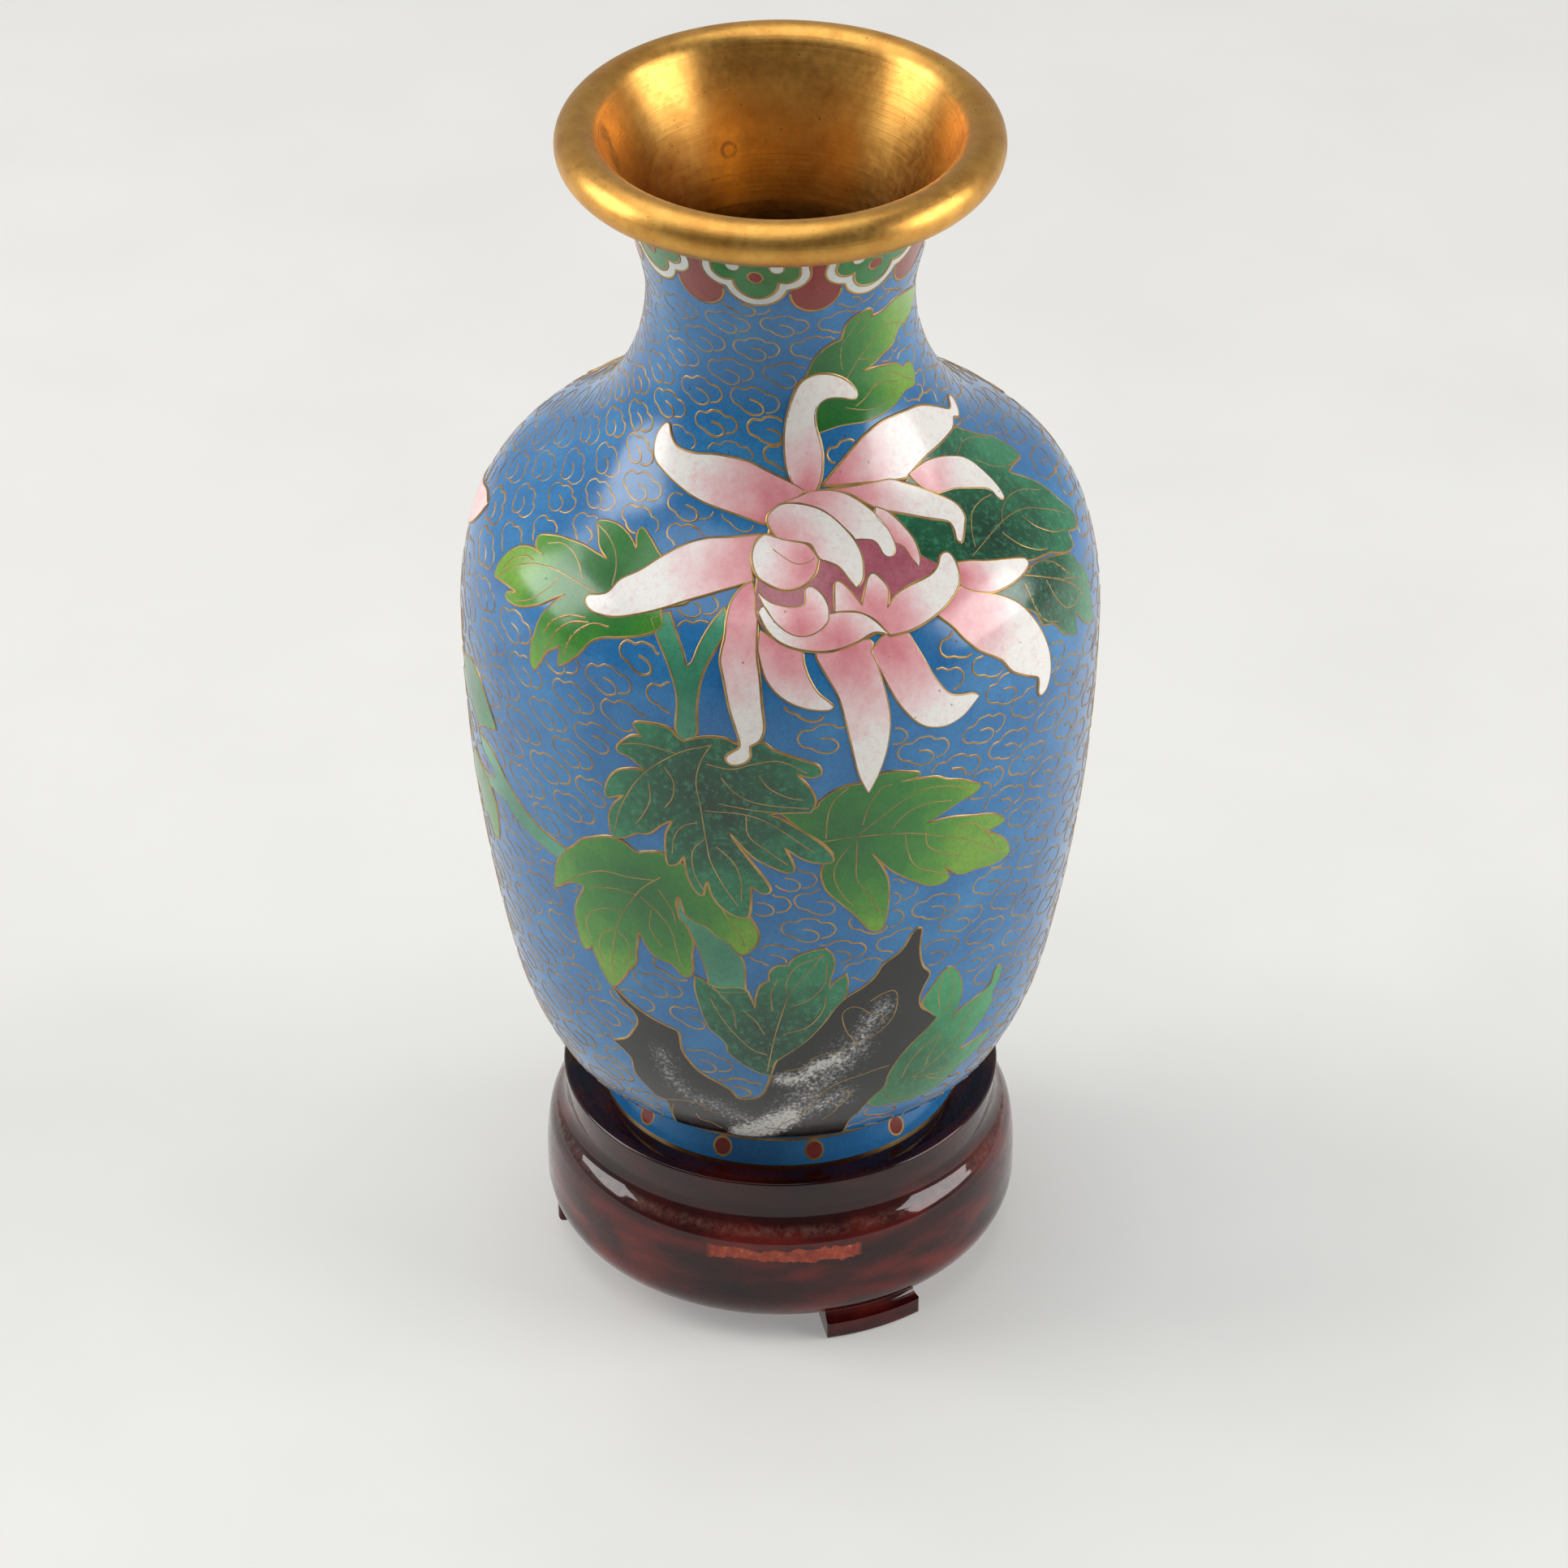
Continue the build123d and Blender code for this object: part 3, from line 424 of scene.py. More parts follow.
# single wires inside the shapes: level, then open lines
VEINS = [
    (1.0, [[(35.5, 105.1), (42, 106.1), (48, 106.2), (53, 105), (57, 102.3), (60, 99.5)],
     [(37.2, 105.9), (39, 108), (42, 109.9), (46, 110.3), (49.5, 109.8)], [(46, 106.3), (49, 107.5),
     (53, 107.7), (57, 106.5), (60, 104.3)], [(44.3, 105.3), (45.5, 102.5), (48, 100.3),
     (50, 99.4)], [(51, 104.8), (51.5, 102.5), (54, 100), (57, 98.6)], [(50, 116.7), (55, 117.1),
     (60, 115.8), (64, 113.5)], [(54, 114.3), (57, 111.5), (61, 109.5), (66, 108.2)]]),
    (1.2, [[(42, 99.2), (45, 97.5), (50, 94.3), (53, 91.5), (55, 89)], [(43, 99), (46, 99.2),
     (49, 97.8), (51, 95.5), (52, 94.3)], [(46, 96.5), (46.5, 94), (48, 91.5), (50, 90.3),
     (53, 90)], [(50.3, 94.5), (54, 92.5), (56, 90)], [(41.5, 98.5), (41.6, 94.5), (43, 92),
     (46, 90.3)]]),
    (1.0, [[(-38, 109.3), (-34.8, 108.8), (-31.5, 107.4), (-29.4, 105.3), (-28.4, 103)],
     [(-49.8, 95.2), (-47.3, 97.9), (-44.4, 99.8), (-40.7, 101), (-36.9, 101.4), (-30.7, 101.3)],
     [(-44.4, 103.3), (-41.9, 104.5), (-39, 104.5), (-36.1, 103.5), (-33.8, 102)], [(-44.4, 100.3),
     (-46.5, 100), (-48.6, 98.5), (-49.6, 96.4)], [(-38, 100.6), (-39, 98.5), (-41.1, 96),
     (-44, 94.3)], [(-30.3, 97.7), (-33.2, 97), (-35.7, 95.2), (-36.7, 93.1)], [(-29.5, 97.3),
     (-32.3, 96.4), (-34.4, 94.3), (-35.7, 91), (-36.3, 88.9)], [(-26.1, 97.8), (-29, 97.3),
     (-31.5, 94.8), (-32.5, 91.4)]]),
    (2.0, [[(-9.1, 85.2), (-10.5, 82.5), (-11.2, 79), (-10.6, 75), (-10, 70), (-9.3, 66),
     (-7.5, 62), (-5.7, 59)], [(-9.3, 85), (-13, 83.5), (-16.5, 80.8), (-19, 78), (-20.8, 75),
     (-22.3, 71.5), (-23.3, 67.6)], [(-15.5, 80.5), (-14.3, 78.5), (-14.4, 76), (-15.5, 74)],
     [(-17.8, 77.3), (-17.7, 74.5), (-19, 71.5), (-20, 70)], [(-22, 82.3), (-18.5, 83.3),
     (-13.7, 83)], [(-9.8, 82.1), (-6.5, 81.7), (-3.5, 82.7), (0, 83.2), (3.5, 81.3)],
     [(-7.8, 80.2), (-6, 78), (-3, 76.5), (3.8, 75.6)], [(-2.8, 81), (-1.5, 79), (1, 77.5),
     (3, 77)], [(-10, 74.6), (-5, 74.6), (-1.5, 73.3), (2, 70.5), (4.5, 68.3)], [(-4.6, 74.3),
     (-4.2, 71), (-1.5, 68.5), (1, 66.3)], [(-10.2, 69.8), (-11.8, 67.5), (-11.7, 64),
     (-10.5, 61.3)], [(-8.5, 68.8), (-6.3, 66.5), (-5.3, 63.5), (-5.3, 60)], [(-11, 72.5),
     (-13, 71.5), (-14.3, 69.5), (-14.7, 66.5)], [(-8.2, 76), (-4, 75.4), (0, 75)]]),
    (1.0, [[(5.5, 70), (10.5, 70.2), (17, 69.3), (22, 67.3), (27, 64.7), (31, 61.5), (34.5, 58.8)],
     [(10.5, 70.5), (13.5, 72.8), (17, 75), (20, 75.8), (24, 74.8), (27, 73)], [(9.3, 69),
     (7.5, 66), (7.3, 63.5), (8.5, 60.5), (10, 58.5)], [(10.3, 69.5), (10.3, 66), (10.5, 63),
     (12.5, 59.5), (14.3, 56)], [(17, 69), (17.5, 66), (19, 63), (23.5, 60.3)], [(20, 68.5),
     (20.5, 66), (23, 64), (25.7, 62.5)], [(25, 68), (28, 67), (30.5, 64), (32, 61.5)], [(6, 70.5),
     (6.2, 74), (7, 76.5), (9, 78.5)], [(11, 72), (11.8, 75), (13.5, 77.5), (15, 77.8)],
     [(15, 70.5), (17, 72.5), (20, 73.3), (24, 72.5)]]),
    (1.2, [[(-16.5, 62), (-19.5, 59.1), (-21.6, 55.8), (-23.3, 52.8), (-24.3, 49.9), (-25.4, 45.3),
     (-26, 40.3)], [(-17.4, 61.2), (-21.2, 60.5), (-25.4, 60), (-28.7, 58.2), (-31.6, 55.9),
     (-33.6, 54.1)], [(-20.2, 57.8), (-23.7, 57.6), (-26.2, 56.8), (-28.3, 56.2)], [(-22.9, 53.9),
     (-25.8, 53.3), (-28.3, 51.6), (-29.6, 49), (-29, 46.6)], [(-24.3, 50.3), (-26.6, 48.6),
     (-27.6, 46.2), (-27.6, 43.3)], [(-24.1, 50.1), (-22.8, 49), (-22.2, 47), (-23.3, 44)],
     [(-19.8, 57.6), (-17, 55.3), (-15.4, 52.8), (-14.8, 49.5), (-14.3, 46.6)], [(-18.3, 55.8),
     (-18.7, 52.4), (-17, 49.5)], [(-17, 59.8), (-15.3, 57), (-14.6, 54.3)], [(-9.2, 60.8),
     (-7.4, 57), (-5.8, 54.2), (-5, 52)]]),
    (1.0, [[(-2, 28), (-0.9, 34.7), (0.3, 39.7), (1.4, 43.4), (3.7, 46.8), (6.2, 50.5)],
     [(-0.3, 45.9), (-1.3, 43.4), (-1.1, 40)], [(5.8, 50), (2.4, 48.4), (1, 45.9), (0.8, 43.4)],
     [(6.6, 48.8), (6.4, 45), (4.5, 42.2), (1.4, 40.7)], [(6.6, 42.6), (6.2, 39.7), (4.1, 36.8),
     (0.5, 35.5)], [(-10, 44), (-8.7, 42.4), (-7, 39.9), (-6.6, 36.2)], [(-10.3, 41.5),
     (-9.1, 38.7), (-7.4, 35.8), (-4.5, 32.4), (-2, 31.2)], [(-5.5, 39.9), (-3.6, 37.8),
     (-2.4, 35.3)]]),
    (0.8, [[(25.5, 42.3), (27.2, 39.3), (27.4, 36.3), (26.2, 33.5)], [(25.1, 41.3), (24.6, 38.4),
     (25.3, 34.7)], [(22.6, 22), (25.3, 23.4), (28.7, 25.5), (30.8, 27.6), (30.8, 29.7),
     (32.8, 31.8), (35.8, 33.4)], [(22.6, 22), (26.6, 20.9), (30.8, 19.9), (35.3, 19.9)],
     [(25.3, 20.9), (27.8, 19.3), (31.2, 17.6)], [(20.3, 22.6), (21.2, 25.5), (23.3, 28),
     (26.6, 29.3), (24.9, 25.9), (24.7, 23.8)], [(17.5, 20.9), (19.1, 18.4), (22, 17),
     (25.3, 16.5)]]),
    (1.0, [[(20.8, 133.7), (23.3, 134.9), (26.7, 136.4), (31.3, 137.8), (35.8, 139), (39.2, 139.3),
     (43.8, 138.5), (47.9, 137.6)], [(25.8, 136.2), (29.2, 135.8), (33.3, 135.4), (37.5, 135.6),
     (40, 136)], [(20, 135.3), (19.4, 137), (20, 139), (22.5, 140.3), (25.8, 142), (28.8, 142.8)],
     [(31, 142.2), (28.5, 140.7), (26.4, 139.9)], [(23.3, 129.9), (26.7, 130.5), (30, 131.4),
     (33.3, 132.2), (36.7, 132.5), (39.6, 132.1), (42.5, 131.2), (45.8, 129.9), (49.2, 129.2)],
     [(20, 130.1), (23.3, 129.5), (26.7, 129), (30.8, 128.7), (35.4, 129), (39.6, 129.9)],
     [(29.6, 131.4), (33.3, 131.6), (37.5, 131.2), (40.8, 130.6)]]),
    (4.6, [[(-1.5, 112.3), (1, 111), (3, 110.2), (5, 110.3), (6.5, 110.9)]]),
    (0.3, [[(11.6, 32.4), (9.9, 35.1), (9.1, 38), (9.5, 39.3), (10.8, 39.8), (12.4, 39), (13.3, 38),
     (14.9, 37.6), (15.8, 36.3), (15.5, 35.2)], [(13.3, 40.3), (15.3, 41.3), (17, 41.3),
     (17.6, 39.3), (17.2, 36.3), (15.3, 34), (12.4, 32.6), (9.9, 31.4), (6.6, 31), (4.9, 30.3),
     (3.7, 28.8), (0.8, 28)], [(17.6, 26.3), (15.3, 26.1), (12.8, 25.5), (9.9, 24.9), (7.4, 23.4),
     (5.8, 21.3), (4.3, 18.8), (3.3, 17.2), (0.3, 15.1), (-1, 12)], [(10.8, 23), (11.4, 21.3),
     (9.9, 19), (9.1, 17.6), (7.4, 15.9)], [(-20.1, 17.6), (-17, 18.5), (-14.5, 18.8),
     (-12.8, 17.8), (-11.2, 16.2)], [(-15.1, 15.8), (-14.5, 14.1), (-12.4, 13.7), (-10.8, 12.4)],
     [(-19, 17), (-20, 14), (-20.3, 10)]]),
]

# white veins of the rock: line, half width, how solid the white is
ROCK_WHITES = [
    ([(-7, 11.5), (-3, 13.5), (1, 17)], 1.9, 1.6),
    ([(1, 17), (6, 20), (10, 21.5)], 2.4, 0.6),
    ([(0, 26.2), (3.2, 26.2), (5, 28.3), (9, 29.8)], 1.1, 1.0),
    ([(1, 17), (3, 21), (6, 25), (11, 31)], 3.2, 0.55),
    ([(11, 31), (13.3, 35.6), (15.5, 38.5)], 1.9, 0.6),
    ([(-19, 28), (-18.2, 23.6), (-15.8, 20.5), (-11, 19), (-3, 14)], 2.2, 0.5),
]

# one cloud wire and one short filler hook, mm round their own middle
CLOUD = [(1.9, -1.6), (3.2, -1.2), (3.8, -0.1), (3.0, 1.1), (1.6, 1.3), (0.9, 1.9),
         (-0.9, 2.0), (-1.7, 1.4), (-3.1, 1.4), (-3.8, 0.3), (-3.2, -0.9), (-2.0, -1.3),
         (-1.4, -1.8), (0.1, -2.3), (1.3, -1.9), (1.5, -1.0), (0.7, -0.2), (-0.8, 0.1)]
HOOK = [(-1.9, -0.7), (0.6, -0.9), (1.8, -0.2), (1.2, 0.8), (-0.4, 1.1), (-1.8, 0.8)]
CLOUD_STEP = (9.1, 4.5)      # mm between clouds in a row, and between rows, on the belly
CLOUD_LEVEL = -0.4           # cloud wires stand less proud than the motif's
CLOUD_MARGIN = 0.45          # clouds stay this far from the motif, mm
CLOUD_START = (-62, 82.0)    # (a, s) of the cloud that the rows are counted from
CLOUD_SHOWN = 0.38           # a cloud with less than this left of it gives way to a hook
SHORTEST_RUN = 6             # points in the shortest piece of a cut cloud
CLOUD_ZONES = [("clouds_upper", 96, 149), ("clouds_belly", 3, 96)]

# the back carries the same spray, moved round, without the shapes that would meet the front one
BACK_SHIFT, BACK_DROP = 132, 7
FRONT_ONLY = {"rock", "leaves_rock_east", "stem_west", "leaf_far_west", "leaf_far_low",
              "leaf_east", "petal_east_high", "petal_east_low", "petal_far_west"}
FRONT_VEINS = (0, 7, 10)


# ---------------------------------------------------------------- materials
def srgb(r, g, b):
    """Linear colour from an sRGB one given as 0 to 255."""
    def linear(c):
        c /= 255
        return c / 12.92 if c <= 0.04045 else ((c + 0.055) / 1.055) ** 2.4
    return (linear(r), linear(g), linear(b), 1.0)


class Nodes:
    """A node tree, built up node by node from one kind of coordinates."""

    def __init__(self, tree, coordinates):
        self.tree = tree
        self.place = self.node("TexCoord").outputs[coordinates]

    def feed(self, socket, value):
        """Give a socket a plain value, or link another node's output to it."""
        if isinstance(value, bpy.types.NodeSocket):
            self.tree.links.new(value, socket)
        else:
            socket.default_value = value

    def node(self, kind, **inputs):
        made = self.tree.nodes.new("ShaderNode" + kind)
        for name, value in inputs.items():
            self.feed(made.inputs[name.replace("_", " ")], value)
        return made

    def level(self, fac, low, high, out_low=0.0, out_high=1.0):
        """A value stretched from low..high to out_low..out_high."""
        return self.node("MapRange", Value=fac, From_Min=low, From_Max=high, To_Min=out_low,
                         To_Max=out_high).outputs["Result"]

    def maths(self, kind, a, b):
        node = self.node("Math")
        node.operation = kind
        for socket, value in zip(node.inputs, (a, b)):
            self.feed(socket, value)
        return node.outputs["Value"]

    def axis(self, which):
        return self.node("SeparateXYZ", Vector=self.place).outputs[which]


class Finish(Nodes):
    """A procedural material in object space."""

    def __init__(self, name, **shader):
        self.material = bpy.data.materials.new(name)
        self.material.use_nodes = True
        super().__init__(self.material.node_tree, "Object")
        self.shader = self.tree.nodes["Principled BSDF"]
        for socket, value in shader.items():
            self.shader.inputs[socket.replace("_", " ")].default_value = value

    def noise(self, size, detail=3.0, rough=0.5, stretch=None):
        """Noise from 0 to 1 whose features are about size mm."""
        place = self.place
        if stretch:
            place = self.node("Mapping", Vector=place, Scale=stretch).outputs["Vector"]
        return self.node("TexNoise", Vector=place, Scale=1.0 / (size * MM), Detail=detail,
                         Roughness=rough).outputs["Fac"]

    def cells(self, size):
        """Distance from the middle of random cells, about size mm apart."""
        return self.node("TexVoronoi", Vector=self.place,
                         Scale=1.0 / (size * MM)).outputs["Distance"]

    def attribute(self, name):
        node = self.node("Attribute")
        node.attribute_name = name
        return node.outputs["Fac"]

    def ramp(self, fac, *stops):
        """Colour from a value; a stop is (place, red, green, blue), with sRGB 0 to 255."""
        node = self.node("ValToRGB", Fac=fac)
        bar = node.color_ramp.elements
        while len(bar) < len(stops):
            bar.new(0.5)
        for element, (place, *colour) in zip(bar, stops):
            element.position = place
            element.color = srgb(*colour)
        return node.outputs["Color"]

    def mix(self, fac, a, b):
        """Colour a, with colour b over it by fac."""
        node = self.node("Mix")
        node.data_type = "RGBA"
        for socket, value in zip((0, 6, 7), (fac, a, b)):    # a Mix node's colour sockets
            self.feed(node.inputs[socket], value)
        return node.outputs[2]

    def within(self, value, centre, half, fade):
        """1 while a length is within half mm of centre, down to 0 at fade mm."""
        off = self.maths("ABSOLUTE", self.maths("SUBTRACT", value, centre * MM), 0.0)
        return self.level(off, half * MM, fade * MM, 1, 0)

    def ring(self, middle, inner, outer):
        """1 between two distances in mm from a point, softly 0 elsewhere; a spot if inner is
        as far below 0."""
        node = self.node("VectorMath")
        node.operation = "DISTANCE"
        self.feed(node.inputs[0], self.place)
        self.feed(node.inputs[1], [c * MM for c in middle])
        return self.within(node.outputs["Value"], (inner + outer) / 2, (outer - inner) / 4,
                           (outer - inner) / 2)

    def bump(self, height, depth):
        """Relief: height from 0 to 1 stands for depth mm."""
        node = self.node("Bump", Height=height, Distance=depth * MM)
        before = self.shader.inputs["Normal"]
        if before.is_linked:
            self.feed(node.inputs["Normal"], before.links[0].from_socket)
        self.feed(before, node.outputs["Normal"])

    def colour(self, value):
        self.feed(self.shader.inputs["Base Color"], value)

    def rough(self, value):
        self.feed(self.shader.inputs["Roughness"], value)


def enamel(name, *stops, cloud=6.0, sway=0.5, grain=0.12, pit=0.5, shaded=False, tint=None):
    """Polished glass enamel: clouded colour, fine grain, small dark pits; tint is (strength,
    red, green, blue) of the small spots in it."""
    f = Finish(name, Coat_Weight=0.25, Coat_Roughness=0.12, Specular_IOR_Level=0.46)
    drift = f.level(f.noise(cloud, 5, 0.6), 0.25, 0.75, -0.5 * sway, 0.5 * sway)
    base = f.attribute("shade") if shaded else 0.5
    colour = f.ramp(f.maths("ADD", drift, base), *stops)
    fine = f.level(f.noise(0.35, 2, 0.6), 0.3, 0.7)
    colour = f.mix(f.level(fine, 0, 1, 0, grain), colour, (0.02, 0.02, 0.02, 1))
    if tint:
        spots = f.level(f.noise(0.9, 4, 0.7), 0.5, 0.72, 0, tint[0])
        colour = f.mix(spots, colour, srgb(*tint[1:]))
    pits = f.level(f.cells(2.6), 0.05, 0.075, 1, 0)
    rare = f.level(f.noise(7, 2, 0.5), 0.5, 0.56)
    dots = f.maths("MULTIPLY", f.maths("MULTIPLY", pits, rare), pit)
    f.colour(f.mix(dots, colour, (0.012, 0.01, 0.01, 1)))
    f.rough(f.level(f.noise(3, 4, 0.6), 0.3, 0.7, 0.17, 0.27))
    f.bump(f.noise(1.6, 3, 0.5), 0.02)
    f.bump(dots, -0.05)
    return f.material


def metal(name, bright, dull, roughness, turned=0.0, stains=0.0, throat=None, marks=(), **shader):
    """Gilt or copper: tarnish, pits, turning lines, single marks, and painted shade that darkens
    the throat, full below its first height and fading out by its second."""
    f = Finish(name, **{"Metallic": 1.0, **shader})
    wear = f.level(f.noise(5, 6, 0.65), 0.3, 0.72)
    colour = f.mix(wear, srgb(*bright), srgb(*dull))
    if stains:
        blotches = f.level(f.noise(9, 5, 0.7), 0.6, 0.7, 0, stains)
        colour = f.mix(blotches, colour, srgb(70, 48, 30))
        specks = f.level(f.noise(0.7, 3, 0.7), 0.66, 0.74, 0, 0.7)
        colour = f.mix(specks, colour, srgb(60, 42, 28))
    if throat:
        # painted shade: the deep throat darkened towards dark brown below the first height, fading
        # out by the second
        throat_shade = f.level(f.axis("Z"), throat[0] * MM, throat[1] * MM, 0.75, 0)
        colour = f.mix(throat_shade, colour, srgb(74, 42, 18))
    for middle, inner, outer in marks:
        mark = f.ring(middle, inner, outer)
        worn = f.maths("MULTIPLY", mark, f.level(f.noise(1.5, 4, 0.7), 0.35, 0.65, 0.15, 0.75))
        colour = f.mix(worn, colour, srgb(92, 80, 66))
    f.colour(colour)
    f.rough(f.level(f.noise(1.2, 5, 0.65), 0.25, 0.75, roughness - 0.07, roughness + 0.09))
    if turned:
        f.bump(f.noise(0.5, 3, 0.6, stretch=(0.02, 0.02, 1.0)), turned)
    f.bump(f.noise(0.9, 4, 0.6), 0.012)
    return f.material


# heights and widths on the stand, mm
COLLAR_SHADE_Z = (20, 22)          # painted shade of the collar and its recess: none below the first height, full above the second
RIDGE_Z = 19.5               # the rubbed edge
CHIP_Z, CHIP_X = 16.3, 0.5   # middle of the chip at the front
CHIP_HALF = (10.2, 11)       # half its width: full, and faded out


def lacquer(name):
    """Dark red-brown lacquered wood: dusty, rubbed along the ridge, chipped bare at the front, with
    painted shade on the collar and in its recess.
    """
    f = Finish(name, Coat_Weight=0.85, Coat_Roughness=0.05, Specular_IOR_Level=0.04)
    grain = f.noise(7, 4, 0.55, stretch=(0.5, 0.5, 1.6))
    colour = f.ramp(grain, (0.3, 26, 5, 6), (0.5, 60, 11, 11), (0.75, 118, 32, 25))
    dust = f.level(f.noise(3, 9, 0.75), 0.6, 0.8, 0, 0.25)
    colour = f.mix(dust, colour, srgb(128, 96, 86))
    across, depth, height = (f.axis(which) for which in "XYZ")
    # painted shade: the collar and its recess darkened towards a near-black red, where shade falls
    collar_shade = f.level(height, COLLAR_SHADE_Z[0] * MM, COLLAR_SHADE_Z[1] * MM, 0, 0.65)
    colour = f.mix(collar_shade, colour, srgb(26, 8, 8))
    ridge = f.within(height, RIDGE_Z, 0.2, 0.9)
    rubbed = f.maths("MULTIPLY", ridge, f.level(f.noise(1.3, 6, 0.75), 0.4, 0.65))
    colour = f.mix(f.maths("MULTIPLY", rubbed, 0.35), colour, srgb(150, 112, 100))
    uneven = f.level(f.noise(3.5, 4, 0.6), 0.3, 0.7, -0.6 * MM, 0.6 * MM)
    ragged = f.maths("ADD", height, uneven)
    chip = f.maths("MULTIPLY", f.within(ragged, CHIP_Z, 0.8, 0.95),
                   f.within(across, CHIP_X, *CHIP_HALF))
    chip = f.maths("MULTIPLY", chip, f.level(depth, -20 * MM, -10 * MM, 1, 0))    # front only
    bare = f.ramp(f.noise(1.2, 4, 0.6), (0.35, 140, 44, 28), (0.6, 178, 74, 44),
                  (0.8, 204, 140, 98))
    f.colour(f.mix(chip, colour, bare))
    f.rough(f.level(f.noise(2, 5, 0.6), 0.3, 0.75, 0.18, 0.42))
    f.bump(f.noise(3, 3, 0.5), 0.02)
    f.bump(chip, -0.12)
    return f.material


BLUE = enamel("blue_ground", (0, 24, 98, 160), (0.5, 38, 122, 184), (1, 66, 148, 204),
              cloud=9, sway=0.7, grain=0.3, pit=0.8)
PETAL = enamel("pink_petal", (0, 222, 132, 142), (0.3, 238, 172, 176), (0.6, 246, 216, 216),
               (0.88, 248, 245, 240), cloud=5, sway=0.45, grain=0.07, shaded=True,
               tint=(0.3, 222, 138, 142))
ROSE = enamel("rose_ground", (0, 160, 74, 96), (1, 196, 118, 130), cloud=3, grain=0.2,
              tint=(0.4, 112, 52, 70))
LEAF_LIGHT = enamel("light_leaf", (0, 28, 104, 46), (0.45, 48, 132, 48), (0.75, 84, 156, 46),
                    (1, 126, 178, 48), cloud=5, sway=0.35, grain=0.3, shaded=True,
                    tint=(0.25, 40, 84, 50))
LEAF_DARK = enamel("dark_leaf", (0, 12, 62, 42), (0.5, 20, 92, 60), (1, 36, 134, 88),
                   cloud=4, sway=0.6, grain=0.25, shaded=True, tint=(0.5, 84, 168, 130))
LEAF_MID = enamel("mid_leaf", (0, 18, 92, 52), (0.5, 28, 122, 70), (1, 52, 160, 98),
                  cloud=4, grain=0.16, shaded=True, tint=(0.3, 110, 170, 130))
STEM = enamel("turquoise_stem", (0, 52, 130, 98), (1, 92, 174, 138), cloud=4, grain=0.2,
              shaded=True, tint=(0.4, 48, 96, 84))
ROCK = enamel("black_rock", (0.15, 16, 17, 17), (0.42, 34, 36, 35), (0.7, 118, 117, 116),
              (1, 214, 212, 208), cloud=0.5, sway=0.9, grain=0.2, shaded=True)
GREEN = enamel("lappet_green", (0, 34, 104, 50), (1, 66, 146, 70), cloud=3, grain=0.18,
               tint=(0.4, 26, 70, 46))
WHITE = enamel("lappet_white", (0, 196, 204, 200), (1, 226, 230, 224), cloud=3, grain=0.1)
RED = enamel("brick_red", (0, 122, 34, 30), (1, 160, 56, 44), cloud=2.5, grain=0.25,
             tint=(0.35, 84, 22, 24))
LINING = enamel("lining_blue", (0, 40, 84, 120), (1, 66, 116, 150), grain=0.3)
GILT = metal("gilt_brass", (224, 173, 90), (194, 138, 66), 0.36, turned=0.03, stains=0.2,
             throat=(150, 163), Anisotropic=0.6, Anisotropic_Rotation=0.25,
             marks=[((-6.9, 17.2, 164.2), 0.6, 1.3), ((-22.7, 1.9, 174.9), -2.4, 2.4),
                    ((-21.7, 0.5, 172.4), -2.2, 2.2)])
GILT_FOOT = metal("gilt_foot", (226, 188, 126), (180, 134, 82), 0.32, stains=0.6)
COPPER = metal("old_copper", (176, 116, 78), (120, 74, 48), 0.36, turned=0.03, stains=0.6)
WIRE = metal("cell_wire", (196, 158, 96), (116, 90, 52), 0.34, Metallic=0.5)
WOOD = lacquer("cherry_lacquer")

CAD_FINISHES = {
    "mouth_rim": GILT, "foot_ring": GILT_FOOT, "seam_wire": WIRE, "foot_dot_wires": WIRE,
    "neck_shell": GILT, "shoulder_shell": COPPER, "lower_shell": COPPER, "base_disc": COPPER,
    "neck_enamel": BLUE, "shoulder_enamel": BLUE, "lower_enamel": BLUE, "foot_enamel": BLUE,
    "lappet_cells": GREEN, "lappet_borders": WHITE, "lappet_dots": RED,
    "neck_scallops": RED, "foot_dots": RED,
    "shoulder_lining": LINING, "lower_lining": LINING, "base_lining": LINING,
    "base_enamel": LINING,
}
# kind of enamel in the drawing: material and the record's slot
ENAMELS = {
    "petal": (PETAL, "white_enamel"), "rose": (ROSE, "red_enamel"),
    "leaf_light": (LEAF_LIGHT, "green_enamel"), "leaf_dark": (LEAF_DARK, "green_enamel"),
    "leaf_mid": (LEAF_MID, "green_enamel"), "stem": (STEM, "green_enamel"),
    "rock": (ROCK, None),
}


def finish_cad():
    """Every CAD node gets its own finish; the stand's nodes are the wooden ones."""
    for name, node in nodes.items():
        node.data.materials.clear()
        node.data.materials.append(CAD_FINISHES.get(name, WOOD))


# ---------------------------------------------------------------- the spray
def moved_round(points):
    """The same points on the back of the vase."""
    return [(BACK_SHIFT + p[0], p[1] - BACK_DROP, *p[2:]) for p in points]


def along(points, line):
    """Distance of each point from an open line."""
    line = np.array(line, float)
    best = np.full(len(points), 1e9)
    for p, q in zip(line, line[1:]):
        t = np.clip(((points - p) @ (q - p)) / ((q - p) @ (q - p)), 0, 1)
        best = np.minimum(best, np.linalg.norm(points - p - t[:, None] * (q - p), axis=1))
    return best


def rock_shade(flat):
    """White along the veins of the rock, dark elsewhere."""
    near = [solid * (1.3 - along(flat, line) / (1.6 * half)) for line, half, solid in ROCK_WHITES]
    return np.max(near, axis=0)


def heart_shade(heart, reach):
    """0 at the heart of a petal or leaf, 1 from reach mm on."""
    centre = np.array(heart, float)
    return lambda flat: np.linalg.norm(flat - centre, axis=1) / reach


